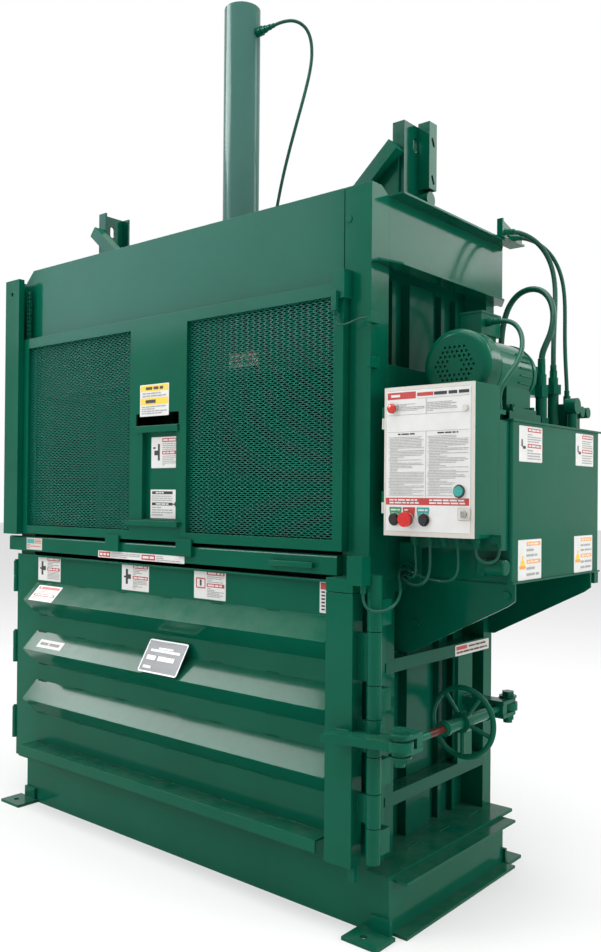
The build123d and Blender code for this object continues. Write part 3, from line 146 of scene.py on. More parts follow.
class Effects:
    """Shader groups that several finishes share, each built once."""

    @staticmethod
    def start(name: str, inputs: dict[str, float | None],
              *outputs: str) -> tuple[Nodes, dict[str, NodeSocket], Node]:
        """Start a group that takes a Vector and other inputs.

        Args:
            name: The group's name.
            inputs: Each number's default, or None for a vector.
            outputs: The names of the masks and values that it puts out.

        Returns:
            The group's bench, its inputs by name and its output node.
        """
        tree = bpy.data.node_groups.new(name, "ShaderNodeTree")
        for socket, value in {"Vector": None, **inputs}.items():
            kind = "NodeSocketVector" if value is None else "NodeSocketFloat"
            made = tree.interface.new_socket(socket, in_out="INPUT", socket_type=kind)
            if value is not None:
                made.default_value = value
        for socket in outputs:
            tree.interface.new_socket(socket, in_out="OUTPUT", socket_type="NodeSocketFloat")
        bench = Nodes(tree)
        return bench, dict(bench.add("NodeGroupInput").outputs.items()), bench.add("NodeGroupOutput")

    @staticmethod
    @cache
    def orange_peel() -> NodeTree:
        """Sprayed paint's fine waviness, with specks of dust in it.

        Returns:
            The group, which puts out a Height.
        """
        bench, given, out = Effects.start("Orange peel", {"Scale": 220.0, "Specks": 0.2}, "Height")
        place = given["Vector"]
        broad = bench.maths("MULTIPLY", bench.noise(place, 9.0, 2.0), 1.6)
        waves = bench.maths("MULTIPLY_ADD", bench.noise(place, given["Scale"], 1.5), 0.35, broad)
        dots = bench.add("ShaderNodeTexVoronoi", {"Vector": place, "Scale": 60.0})
        specks = bench.ramp(dots.outputs[0], 0.09, 0.02)
        bench.feed(out, {"Height": bench.maths("MULTIPLY_ADD", specks, given["Specks"], waves)})
        return bench.tree

    @staticmethod
    @cache
    def clouding() -> NodeTree:
        """Slow changes of tone and fine grain.

        Returns:
            The group, which puts out the masks Tone and Grain.
        """
        bench, given, out = Effects.start("Clouding", {"Scale": 3.0, "Grain": 60.0}, "Tone", "Grain")
        slow = bench.noise(given["Vector"], given["Scale"], 4.0, 0.55)
        fine = bench.noise(given["Vector"], given["Grain"], 3.0)
        bench.feed(out, {"Tone": bench.ramp(slow, 0.32, 0.68), "Grain": bench.ramp(fine, 0.35, 0.65)})
        return bench.tree

    @staticmethod
    @cache
    def dust() -> NodeTree:
        """Dust on what faces up, and near the floor.

        Returns:
            The group, which puts out a Mask.
        """
        bench, given, out = Effects.start("Dust", {"Amount": 0.3, "Low": 0.15}, "Mask")
        facing = bench.parts(bench.add("ShaderNodeNewGeometry").outputs["Normal"])[2]
        height = bench.parts(given["Vector"])[2]
        low = bench.maths("MULTIPLY", bench.ramp(height, 0.45, 0.0), given["Low"])
        where = bench.maths("MAXIMUM", bench.ramp(facing, 0.35, 0.95), low)
        patch = bench.ramp(bench.noise(given["Vector"], 14.0, 5.0, 0.7), 0.35, 0.75)
        patchy = bench.maths("MULTIPLY", where, patch)
        bench.feed(out, {"Mask": bench.maths("MULTIPLY", patchy, given["Amount"], clamp=True)})
        return bench.tree

    @staticmethod
    @cache
    def wear() -> NodeTree:
        """Broken patches on edges, from the difference between a rounded and a true normal.

        Returns:
            The group, which puts out a Mask.
        """
        inputs = {"Amount": 0.5, "Scale": 30.0, "Rounded": None}
        bench, given, out = Effects.start("Edge wear", inputs, "Mask")
        true = bench.add("ShaderNodeNewGeometry").outputs["True Normal"]
        near = bench.add("ShaderNodeVectorMath", {0: given["Rounded"], 1: true}, operation="DOT_PRODUCT")
        edge = bench.ramp(near.outputs["Value"], 0.985, 0.86)
        patch = bench.ramp(bench.noise(given["Vector"], given["Scale"], 5.0, 0.75), 0.45, 0.62)
        broken = bench.maths("MULTIPLY", edge, patch)
        bench.feed(out, {"Mask": bench.maths("MULTIPLY", broken, given["Amount"], clamp=True)})
        return bench.tree


def start_material(name: str) -> tuple[Material, Nodes, Node, NodeSocket]:
    """Start a material.

    Args:
        name: The material's name.

    Returns:
        The material, its bench, its main shader and the socket of the place on the piece.
    """
    material = bpy.data.materials.new(name)
    material.use_nodes = True
    bench = Nodes(material.node_tree)
    place = bench.add("ShaderNodeTexCoord").outputs["Object"]
    return material, bench, material.node_tree.nodes["Principled BSDF"], place


UNDERCOAT = (0.05, 0.12, 0.085)
DUST = (0.22, 0.25, 0.20)
DUST_ROUGHNESS = 0.5
GRAIN_ROUGHNESS = 0.05
HANDLING_ROUGHNESS = 0.12
COAT_ROUGHNESS = 0.06


@dataclass(frozen=True)
class Paint:
    """A sprayed gloss paint."""

    name: str
    colour: Triple
    shade: Triple
    roughness: float = 0.11
    coat: float = 0.04
    shine: float = 0.08
    peel: float = 0.00022
    dusty: float = 0.12
    worn: float = 0.25
    round_mm: float = 1.6

    def patch(self, bench: Nodes, place: NodeSocket, colour: NodeSocket) -> NodeSocket:
        """Change the colour in one region, which plain paint doesn't have."""
        return colour

    def build(self) -> Material:
        """Make the material.

        Returns:
            The finished material.
        """
        material, bench, shader, place = start_material(self.name)
        rounded = bench.add("ShaderNodeBevel", {"Radius": self.round_mm * MM}, samples=4).outputs[0]
        cloud = bench.group(Effects.clouding(), Vector=place)
        peel = bench.group(Effects.orange_peel(), Vector=place)
        dust = bench.group(Effects.dust(), Vector=place, Amount=self.dusty)["Mask"]
        wear = bench.group(Effects.wear(), Vector=place, Amount=self.worn, Rounded=rounded)["Mask"]
        tone = bench.mix(cloud["Tone"], self.colour, self.shade)
        dusted = bench.mix(dust, bench.mix(wear, tone, UNDERCOAT), DUST)
        grain = bench.maths("MULTIPLY_ADD", cloud["Grain"], GRAIN_ROUGHNESS, self.roughness)
        bump = bench.add("ShaderNodeBump", {
            "Height": peel["Height"], "Distance": self.peel, "Strength": 1.0, "Normal": rounded})
        bench.feed(shader, {
            "Base Color": self.patch(bench, place, dusted),
            "Roughness": bench.maths("MULTIPLY_ADD", dust, DUST_ROUGHNESS, grain),
            "Normal": bump.outputs[0],
            "Specular IOR Level": self.shine,
            "Coat Weight": self.coat,
            "Coat Roughness": COAT_ROUGHNESS})
        return material


@dataclass(frozen=True, kw_only=True)
class ScrewPaint(Paint):
    """Green paint on a yoke whose screw is red, chosen by the distance from the screw's axis."""

    axis_x: float
    axis_z: float
    radius: float
    until_y: float
    threads: float = 63.0

    def patch(self, bench: Nodes, place: NodeSocket, colour: NodeSocket) -> NodeSocket:
        """Redden the screw, with bands of painted shade for its grooves.

        Args:
            bench: The material's bench.
            place: The place on the piece.
            colour: The paint's colour.

        Returns:
            The colour with the screw in it.
        """
        x, y, z = bench.parts(place)
        across = bench.maths("SUBTRACT", x, self.axis_x)
        height = bench.maths("SUBTRACT", z, self.axis_z)
        square = bench.maths("MULTIPLY_ADD", across, across, bench.maths("MULTIPLY", height, height))
        inside = bench.maths("LESS_THAN", square, self.radius ** 2)
        screw = bench.maths("MULTIPLY", inside, bench.maths("GREATER_THAN", y, self.until_y))
        # the thread has no relief: its grooves are dark bands of painted shade
        thread_shading = bench.add("ShaderNodeTexWave", {"Vector": place, "Scale": self.threads}, bands_direction="Y")
        red = bench.mix(thread_shading.outputs[1], (0.035, 0.010, 0.008), (0.11, 0.022, 0.015))
        return bench.mix(screw, colour, red)


@dataclass(frozen=True, kw_only=True)
class ShadedInsidePaint(Paint):
    """Green paint with painted shade on the chamber's inner faces, near black in blotches."""

    axis: int
    limit: float

    def patch(self, bench: Nodes, place: NodeSocket, colour: NodeSocket) -> NodeSocket:
        """Blacken what is nearer to the middle than the limit, as painted shade.

        Args:
            bench: The material's bench.
            place: The place on the piece.
            colour: The paint's colour.

        Returns:
            The colour with the painted shade in it.
        """
        inside = bench.maths("LESS_THAN", bench.maths("ABSOLUTE", bench.parts(place)[self.axis]), self.limit)
        # painted shade inside the chamber: two near-black tones in blotches
        shade_blotch = bench.ramp(bench.noise(place, 6.0, 5.0, 0.6), 0.35, 0.70)
        return bench.mix(inside, colour, bench.mix(shade_blotch, (0.0008, 0.018, 0.011), (0.005, 0.010, 0.008)))


@dataclass(frozen=True)
class Plain:
    """A plastic, rubber or bare metal with grain and handling marks."""

    name: str
    colour: Triple
    roughness: float = 0.4
    metallic: float = 0.0
    grain: float = 300.0
    depth: float = 0.0001
    glow: float = 0.0
    variation: float = 0.12
    blotches: float = 25.0

    def build(self) -> Material:
        """Make the material.

        Returns:
            The finished material.
        """
        material, bench, shader, place = start_material(self.name)
        cloud = bench.group(Effects.clouding(), Vector=place, Scale=self.blotches, Grain=self.grain)
        tone = bench.mix(cloud["Tone"], self.colour, tuple(c * (1 - self.variation) for c in self.colour))
        grain = cloud["Grain"]
        bump = bench.add("ShaderNodeBump", {"Height": grain, "Distance": self.depth, "Strength": 0.6})
        bench.feed(shader, {
            "Base Color": tone,
            "Roughness": bench.maths("MULTIPLY_ADD", grain, HANDLING_ROUGHNESS, self.roughness),
            "Normal": bump.outputs[0],
            "Metallic": self.metallic})
        if self.glow:
            bench.feed(shader, {"Emission Color": tone, "Emission Strength": self.glow})
        return material


class Finishes:
    """Every finish of the machine, made once and handed out by name."""

    def __init__(self) -> None:
        """Build the materials."""
        deep = ((0.0015, 0.072, 0.042), (0.001, 0.060, 0.036))
        recipes = [
            Paint("green_paint", (0.0015, 0.092, 0.052), (0.001, 0.078, 0.044)),
            Paint("deep_green", *deep, dusty=0.1),
            # a lighter, bluish copy of the green paint: painted sky reflection, for the cylinder tube
            Paint("sheen_painted_green", (0.055, 0.140, 0.118), (0.045, 0.125, 0.104), dusty=0.1, worn=0.15),
            Paint("platen_steel", (0.003, 0.028, 0.019), (0.010, 0.018, 0.014), 0.45, 0.1,
                  dusty=0.3, worn=0.6),
            Paint("panel_grey", (0.60, 0.58, 0.53), (0.56, 0.54, 0.49), 0.32, 0.2, dusty=0.1, worn=0.1),
            Paint("hose_green", (0.004, 0.090, 0.055), (0.010, 0.060, 0.040), 0.38, 0.25,
                  peel=0.0003, worn=0.0, dusty=0.15, round_mm=0.2),
            Paint("mesh_green", (0.005, 0.120, 0.080), (0.004, 0.105, 0.070), dusty=0.05, worn=0.0),
            # painted shade on the inner faces of the side walls and the back wall
            ShadedInsidePaint("painted_shade_sides", *deep, dusty=0.1, axis=0, limit=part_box("side_walls")[1][0] - 3 * MM),
            ShadedInsidePaint("painted_shade_back", *deep, dusty=0.1, axis=1, limit=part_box("back_wall")[0][1] + 2 * MM),
            ScrewPaint("screw_paint", (0.002, 0.105, 0.060), (0.002, 0.085, 0.050),
                       axis_x=1.001, axis_z=0.550, radius=0.0126, until_y=-0.285),
            Plain("rod_chrome", (0.82, 0.82, 0.82), 0.08, 1.0, 80.0, 0.00001),
            Plain("zinc", (0.62, 0.62, 0.60), 0.34, 1.0, 120.0, 0.00005),
            Plain("black_gloss", (0.010, 0.010, 0.011), 0.16),
            Plain("red_gloss", (0.55, 0.012, 0.010), 0.18),
            Plain("teal_lens", (0.04, 0.30, 0.26), 0.16, glow=0.05),
            Plain("red_lens", (0.50, 0.03, 0.02), 0.14, glow=0.08),
            Plain("oil_black", (0.012, 0.012, 0.012), 0.35),
        ]
        recipes += [Plain(self.ink_name(ink), ink.value, 0.30, variation=0.05) for ink in Ink]
        self.made = {recipe.name: recipe.build() for recipe in recipes}

    @staticmethod
    def ink_name(ink: Ink) -> str:
        """Name an ink's material."""
        return "ink_" + ink.name.lower()

    def __getitem__(self, name: str | Ink) -> Material:
        """Hand out a finish by its name, or by its ink."""
        return self.made[self.ink_name(name) if isinstance(name, Ink) else name]


class Shop:
    """Modelling operators, each with nothing else selected."""

    @staticmethod
    def clear() -> None:
        """Leave edit mode and deselect everything."""
        if bpy.context.object and bpy.context.object.mode != "OBJECT":
            bpy.ops.object.mode_set(mode="OBJECT")
        bpy.ops.object.select_all(action="DESELECT")

    @staticmethod
    def hold(piece: Object) -> None:
        """Select one piece and make it active.

        Args:
            piece: The object.
        """
        Shop.clear()
        piece.select_set(True)
        bpy.context.view_layer.objects.active = piece

    @staticmethod
    def settle(piece: Object) -> None:
        """Put a piece's place, turn and size into its mesh."""
        Shop.hold(piece)
        bpy.ops.object.transform_apply(location=True, rotation=True, scale=True)

    @staticmethod
    def use(piece: Object, kind: str, **settings: object) -> None:
        """Add a modifier and apply it.

        Args:
            piece: The object.
            kind: The modifier's type.
            settings: The modifier's properties.
        """
        Shop.hold(piece)
        modifier = piece.modifiers.new(kind.title(), kind)
        for name, value in settings.items():
            setattr(modifier, name, value)
        bpy.ops.object.modifier_apply(modifier=modifier.name)

    @staticmethod
    def array(piece: Object, count: int, step: Triple, **settings: object) -> None:
        """Repeat a piece, so many in all, each a step in millimetres from the last."""
        Shop.use(piece, "ARRAY", count=count, use_relative_offset=False, use_constant_offset=True,
                 constant_offset_displace=[c * MM for c in step], **settings)

    @staticmethod
    def edit(piece: Object) -> None:
        """Edit a piece with all of it selected.

        Args:
            piece: The object.
        """
        Shop.hold(piece)
        bpy.ops.object.mode_set(mode="EDIT")
        bpy.ops.mesh.select_all(action="SELECT")

    @staticmethod
    def edit_some(piece: Object, kind: str, wanted: Callable[..., bool]) -> None:
        """Edit a piece with some of its parts selected.

        Args:
            piece: The object.
            kind: VERT, EDGE or FACE.
            wanted: Says of one such part whether it is selected.
        """
        Shop.edit(piece)
        bpy.ops.mesh.select_mode(type=kind)
        bpy.ops.mesh.select_all(action="DESELECT")
        bpy.ops.object.mode_set(mode="OBJECT")
        mesh = piece.data
        for part in {"VERT": mesh.vertices, "EDGE": mesh.edges, "FACE": mesh.polygons}[kind]:
            part.select = wanted(part)
        bpy.ops.object.mode_set(mode="EDIT")

    @staticmethod
    def face_out() -> None:
        """Turn the edited mesh's faces outwards and leave edit mode."""
        bpy.ops.mesh.select_all(action="SELECT")
        bpy.ops.mesh.normals_make_consistent(inside=False)
        bpy.ops.object.mode_set(mode="OBJECT")

    @staticmethod
    def block(low: Triple, high: Triple, bevel: float = 0.0) -> Object:
        """A block, in millimetres.

        Args:
            low: Its lowest corner.
            high: Its highest corner.
            bevel: The width of its edge round.

        Returns:
            The object.
        """
        Shop.clear()
        low, high = ([c * MM for c in corner] for corner in (low, high))
        bpy.ops.mesh.primitive_cube_add(size=1, location=[(a + b) / 2 for a, b in zip(low, high)])
        piece = bpy.context.object
        piece.scale = [b - a for a, b in zip(low, high)]
        Shop.settle(piece)
        if bevel:
            Shop.use(piece, "BEVEL", width=bevel * MM, segments=2, limit_method="ANGLE")
        return piece

    @staticmethod
    def turned(centre: Triple, axis: Triple, steps: list[tuple[float, float]], sides: int = 24) -> Object:
        """A turned piece: a disc extruded and scaled along an axis, in millimetres.

        Args:
            centre: The middle of the first disc.
            axis: The direction it grows in.
            steps: Each disc's distance along the axis and its radius.
            sides: How many sides a disc has.

        Returns:
            The object.
        """
        tip = 0.01
        Shop.clear()
        bpy.ops.mesh.primitive_circle_add(vertices=sides, radius=steps[0][1] * MM, fill_type="NGON")
        piece = bpy.context.object
        Shop.edit(piece)
        for (start, before), (end, after) in zip(steps, steps[1:]):
            bpy.ops.mesh.extrude_region_move(TRANSFORM_OT_translate={"value": (0, 0, (end - start) * MM)})
            scale = max(after, tip) / max(before, tip)
            bpy.ops.transform.resize(value=(scale, scale, 1))
        Shop.face_out()
        turn = Vector(axis).to_track_quat("Z", "Y").to_matrix().to_4x4()
        piece.matrix_world = Matrix.Translation(Vector(centre) * MM) @ turn
        Shop.settle(piece)
        return piece

    @staticmethod
    def join(pieces: list[Object], name: str) -> Object:
        """Join pieces into one object.

        Args:
            pieces: The objects.
            name: The joined object's name.

        Returns:
            The joined object.
        """
        Shop.hold(pieces[0])
        for piece in pieces:
            piece.select_set(True)
        if len(pieces) > 1:
            bpy.ops.object.join()
        joined = bpy.context.object
        joined.name = joined.data.name = name
        return joined

    @staticmethod
    def deliver(piece: Object, body: str, slot: str, finish: Material | None = None,
                smooth: float = 0) -> None:
        """Give a finished piece its finish and its body.

        Args:
            piece: The object.
            body: The body that it rides on.
            slot: Not used.
            finish: The material, where it isn't dressed yet.
            smooth: The bend in degrees up to which its edges are shaded smooth.
        """
        if smooth:
            Shop.hold(piece)
            bpy.ops.object.shade_smooth_by_angle(angle=math.radians(smooth))
        if finish is not None:
            piece.data.materials.clear()
            piece.data.materials.append(finish)
        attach(piece, body)
        log.info("%s rides on %s", piece.name, body)


LAYER = 0.08
WORD_LAYER = 12
FRONT = ((1, 0, 0), (0, 0, 1))
RIGHT = ((0, 1, 0), (0, 0, 1))
SLOPE = ((1, 0, 0), (0, 1, 1))


@dataclass
class Field:
    """One printed area of a sign: its left, low, right and high edge in millimetres, and its ink."""

    box: Box
    ink: Ink
    word: bool = False


@dataclass
class Sign:
    """A thin plate or sticker with plain coloured areas and lines for words, in millimetres."""

    name: str
    body: str
    corner: Triple
    size: tuple[float, float]
    lay: tuple[Triple, Triple] = FRONT
    base: Ink = Ink.WHITE
    thick: float = 0.5
    round_mm: float = 3.0
    taper: float = 1.0
    fields: list[Field] = field(default_factory=list)

    @classmethod
    def rimmed(cls, *start: object, lay: tuple[Triple, Triple] = FRONT, ink: Ink = Ink.WHITE,
               rim: float = 1.0, **more: float) -> "Sign":
        """Start a sign, by its name, body, corner and size, with a thin grey rim round its ground."""
        sign = cls(*start, lay=lay, base=Ink.GREY, **more)
        return sign.fill(ink, (rim, rim, sign.size[0] - rim, sign.size[1] - rim))

    def fill(self, ink: Ink, *boxes: Box) -> "Sign":
        """Add plain areas, each over the last."""
        self.fields += [Field(box, ink) for box in boxes]
        return self

    def words(self, ink: Ink, share: float, *blocks: tuple[float, float, float, float, int, int]) -> "Sign":
        """Add rows of short bars that stand for words.

        Args:
            ink: Their colour.
            share: The share of a row's height that a bar takes.
            blocks: Each block's left, low, right and high edge, how many rows it has, and a seed.

        Returns:
            This sign.
        """
        shortest, longest, gap, room, last_word = 1.0, 3.4, 0.45, 0.6, 0.12
        for left, low, right, high, rows, seed in blocks:
            pick = random.Random(seed)
            pitch = (high - low) / rows
            for row in range(rows):
                x = left
                z = high - pitch * (row + 0.5)
                while x < right - pitch * room:
                    run = min(pick.uniform(shortest, longest) * pitch, right - x)
                    box = (x, z - pitch * share / 2, x + run, z + pitch * share / 2)
                    self.fields.append(Field(box, ink, True))
                    x += run + pitch * gap
                    if pick.random() < last_word:
                        break
        return self

    def plate(self) -> Object:
        """Model the plate with round corners, its lower half drawn in where it tapers.

        Returns:
            The object.
        """
        plate = Shop.block((0, 0, 0), (*self.size, self.thick))

        def upright(edge: bpy.types.MeshEdge) -> bool:
            """Say whether an edge runs through the plate's thickness."""
            a, b = (plate.data.vertices[i].co for i in edge.vertices)
            return abs(a.z - b.z) > self.thick * MM / 2

        Shop.edit_some(plate, "EDGE", upright)
        bpy.ops.mesh.bevel(offset=self.round_mm * MM, segments=4)
        if self.taper != 1:
            Shop.edit_some(plate, "VERT", lambda vertex: vertex.co.y < self.size[1] * MM / 2)
            bpy.ops.transform.resize(value=(self.taper, 1, 1))
        Shop.clear()
        return plate

    def build(self, finishes: Finishes) -> None:
        """Model the sign, lay it on the machine and print it."""
        pieces = [self.plate()]
        pieces[0].data.materials.append(finishes[self.base])
        layer = 0
        for area in self.fields:
            layer += not area.word
            left, low, right, high = area.box
            lift = self.thick + LAYER * (WORD_LAYER if area.word else layer)
            mark = Shop.block((left, low, self.thick / 2), (right, high, lift))
            mark.data.materials.append(finishes[area.ink])
            pieces.append(mark)
        sign = Shop.join(pieces, self.name)
        right, rise = (Vector(way).normalized() for way in self.lay)
        turn = Matrix((right, rise, right.cross(rise))).transposed().to_4x4()
        sign.matrix_world = Matrix.Translation(Vector(self.corner) * MM) @ turn
        Shop.settle(sign)
        Shop.deliver(sign, self.body, "green_paint" if self.body != "panel" else "panel_grey")


class Signs:
    """The stickers on the door, the gate, the sill, the platen, the side and the tank."""

    def door(self) -> list[Sign]:
        """Three square signs and a strip above the ribs, two signs on the ribs and a plate.

        Returns:
            The signs.
        """
        signs = []
        for number, x in enumerate((-716.0, -207.0, 162.0)):
            sign = Sign.rimmed(f"door_sign_{number + 1}", "door", (x, -371, 865), (146, 96))
            sign.fill(Ink.RED, (60, 78, 140, 91), (60, 40, 140, 52))
            if number < 2:
                sign.fill(Ink.BLACK, (22, 22, 34, 74), (34, 40, 50, 56), (12, 44, 22, 50))
            else:
                sign.fill(Ink.RED, (12, 34, 52, 38), (12, 64, 52, 68), (10, 36, 14, 66), (50, 36, 54, 66))
                sign.fill(Ink.BLACK, (28, 42, 36, 62))
            sign.words(Ink.WHITE, 0.55, (66, 79, 134, 90, 1, 20 + number), (66, 41, 134, 51, 1, 24 + number))
            sign.words(Ink.GREY, 0.45, (62, 54, 138, 76, 4, 10 + number), (62, 8, 138, 38, 6, 13 + number))
            signs.append(sign)
        strip = Sign.rimmed("door_strip", "door", (688, -371, 864), (27, 93))
        strip.fill(Ink.RED, (4, 68, 23, 88))
        strip.fill(Ink.BLACK, *((7, 8 + 10 * row, 20, 13 + 10 * row) for row in range(6)))
        high = Sign.rimmed("rib_sign_1", "door", (-690, -432.6, 795.3), (150, 74), lay=SLOPE)
        high.fill(Ink.RED, (8, 56, 142, 68), (8, 22, 142, 34))
        high.words(Ink.WHITE, 0.55, (20, 57, 130, 67, 1, 31), (20, 23, 130, 33, 1, 32))
        high.words(Ink.GREY, 0.45, (10, 36, 140, 54, 3, 34), (10, 5, 140, 20, 3, 35))
        low = Sign.rimmed("rib_sign_2", "door", (-654, -420, 618.9), (150, 36), lay=SLOPE, ink=Ink.CREAM)
        low.words(Ink.BLACK, 0.6, (14, 8, 136, 28, 1, 33))
        lean = ((1, 0, 0), (0, 62, 104))
        plate = Sign("door_plate", "door", (-38, -438.5, 612), (190, 116), lean, thick=1.2, round_mm=9)
        plate.fill(Ink.BLACK, (5, 5, 185, 111)).fill(Ink.WHITE, (24, 74, 166, 82), (60, 84, 130, 90))
        plate.words(Ink.WHITE, 0.65, (20, 40, 172, 64, 1, 36)).words(Ink.WHITE, 0.6, (20, 12, 172, 26, 1, 37))
        return signs + [strip, high, low, plate]

    def gate(self) -> list[Sign]:
        """Three signs on the gate's centre plate.

        Returns:
            The signs.
        """
        top = Sign("gate_sign_1", "gate", (-93, -391, 1466), (147, 108))
        top.fill(Ink.YELLOW, (3, 84, 144, 105), (3, 38, 144, 62))
        top.words(Ink.BLACK, 0.55, (30, 86, 118, 103, 1, 41), (30, 40, 118, 60, 1, 42))
        top.words(Ink.GREY, 0.5, (14, 64, 134, 82, 2, 47), (10, 6, 138, 36, 4, 48))
        middle = Sign.rimmed("gate_sign_2", "gate", (-54, -372, 1290), (142, 106))
        middle.fill(Ink.RED, (56, 88, 138, 101), (56, 46, 138, 58))
        middle.fill(Ink.BLACK, (34, 26, 44, 82), (16, 44, 34, 60), (10, 66, 22, 72))
        middle.words(Ink.WHITE, 0.55, (62, 89, 132, 100, 1, 44), (62, 47, 132, 57, 1, 49))
        middle.words(Ink.GREY, 0.45, (58, 60, 134, 85, 4, 43), (58, 8, 134, 43, 6, 40))
        low = Sign.rimmed("gate_sign_3", "gate", (-56, -372, 1120), (142, 98))
        low.fill(Ink.BLACK, (8, 82, 112, 92), (8, 44, 112, 54), (112, 47, 124, 51), (122, 42, 129, 56),
                 (129, 45, 134, 53))
        low.words(Ink.WHITE, 0.55, (28, 83, 92, 91, 1, 45), (28, 45, 92, 53, 1, 46))
        low.words(Ink.GREY, 0.45, (8, 58, 112, 79, 3, 39), (8, 8, 112, 41, 4, 38))
        return [top, middle, low]

    def machine(self) -> list[Sign]:
        """Signs on the sill, the platen and the right side.

        Returns:
            The signs.
        """
        sill = Sign.rimmed("sill_sign", "machine", (-322, -387, 974), (455, 25), round_mm=2)
        sill.fill(Ink.RED, (6, 3.5, 70, 21.5), (240, 3.5, 310, 21.5))
        sill.words(Ink.WHITE, 0.6, (12, 6, 64, 19, 1, 57), (246, 6, 304, 19, 1, 58))
        sill.words(Ink.GREY, 0.45, (76, 3.5, 234, 21.5, 3, 51), (316, 3.5, 448, 21.5, 3, 59))
        plain = Sign.rimmed("sill_plate", "machine", (-773, -387, 982), (104, 46), ink=Ink.CREAM)
        plain.fill(Ink.TEAL, (4, 24, 52, 42))
        plain.words(Ink.RED, 0.4, (6, 5, 98, 22, 3, 52), (56, 24, 98, 42, 3, 60))
        platen = Sign("platen_sign", "platen", (287, -346, 1604), (131, 46), base=Ink.RED)
        platen.fill(Ink.WHITE, (4, 4, 127, 24))
        platen.words(Ink.WHITE, 0.6, (10, 28, 120, 42, 1, 53)).words(Ink.BLACK, 0.45, (10, 6, 120, 22, 2, 54))
        side = Sign("side_sign", "machine", (855, 111, 694), (218, 34), RIGHT)
        side.fill(Ink.CREAM, (2, 2, 216, 32)).fill(Ink.RED, (6, 18, 74, 30))
        side.words(Ink.BLACK, 0.45, (10, 4, 206, 16, 1, 55), (84, 18, 206, 30, 1, 56))
        return [sill, plain, platen, side]

    def tank(self) -> list[Sign]:
        """Four signs at the corners of the tank's outer face.

        Returns:
            The signs.
        """
        signs = []
        spots = ((-132, 1300, 145, 100), (246, 1300, 137, 100), (-134, 972, 146, 113), (239, 972, 141, 113))
        for number, (y, z, width, height) in enumerate(spots):
            upper = number < 2
            sign = Sign.rimmed(f"tank_sign_{number + 1}", "machine", (1190, y, z), (width, height),
                               lay=RIGHT, round_mm=5)
            middle = width * 0.36
            for low in (height * 0.40, height * 0.84):
                sign.fill(Ink.RED if upper else Ink.ORANGE, (middle, low, width - 8, low + 11))
                sign.words(Ink.WHITE, 0.55, (middle + 5, low + 1, width - 14, low + 10, 1, 80 + number))
            for low, high in ((0.06, 0.36), (0.54, 0.80)):
                rows = 4 if upper else 2
                sign.words(Ink.GREY, 0.4, (middle, height * low, width - 9, height * high, rows, 84 + number))
            if upper:
                sign.fill(Ink.BLACK, (14, height * 0.42, 22, height * 0.62),
                          (22, height * 0.36, 40, height * 0.44))
            else:
                sign.fill(Ink.ORANGE, (10, height * 0.28, 46, height * 0.36))
                sign.fill(Ink.YELLOW, (16, height * 0.36, 40, height * 0.48),
                          (24, height * 0.48, 33, height * 0.60))
            signs.append(sign)
        return signs

    def build(self, finishes: Finishes) -> None:
        """Build every sign."""
        for sign in self.door() + self.gate() + self.machine() + self.tank():
            sign.build(finishes)


@dataclass
class SillHandle:
    """The flat pull on the sill's right end, on two feet."""

    left: float = 516.0
    right: float = 684.0
    face: float = -387.0
    low: float = 993.0
    high: float = 1010.0
    reach: float = 16.0
    foot: float = 16.0

    def build(self, finishes: Finishes) -> None:
        """Model the bar and its feet."""
        front = self.face - self.reach
        pieces = [Shop.block((self.left, front, self.low), (self.right, front + 5, self.high), 1.6)]
        for x in (self.left + 4, self.right - 4 - self.foot):
            low = (x, front + 4, self.low + 1)
            pieces.append(Shop.block(low, (x + self.foot, self.face, self.high - 1), 1))
        Shop.deliver(Shop.join(pieces, "sill_handle"), "machine", "green_paint", finishes["green_paint"], 35)


@dataclass
class RibEnds:
    """Closed ends that carry the door's ribs up to the clamping post."""

    left: float = 733.8
    right: float = 757.5
    front: float = -433.9
    back: float = -371.0
    half_height: float = 62.9
    bend: float = 0.02
    heights: tuple[float, ...] = (794.0, 605.0, 416.0)

    def build(self, finishes: Finishes) -> None:
        """Model a wedge at each rib from a block, its front drawn together."""
        wedges = []
        for z in self.heights:
            low = (self.left, self.front, z - self.half_height)
            wedge = Shop.block(low, (self.right, self.back, z + self.half_height))
            Shop.edit_some(wedge, "VERT", lambda vertex: vertex.co.y < (self.front + 1) * MM)
            bpy.ops.transform.resize(value=(1, 1, self.bend))
            Shop.clear()
            wedges.append(wedge)
        Shop.deliver(Shop.join(wedges, "rib_ends"), "door", "green_paint", finishes["green_paint"])


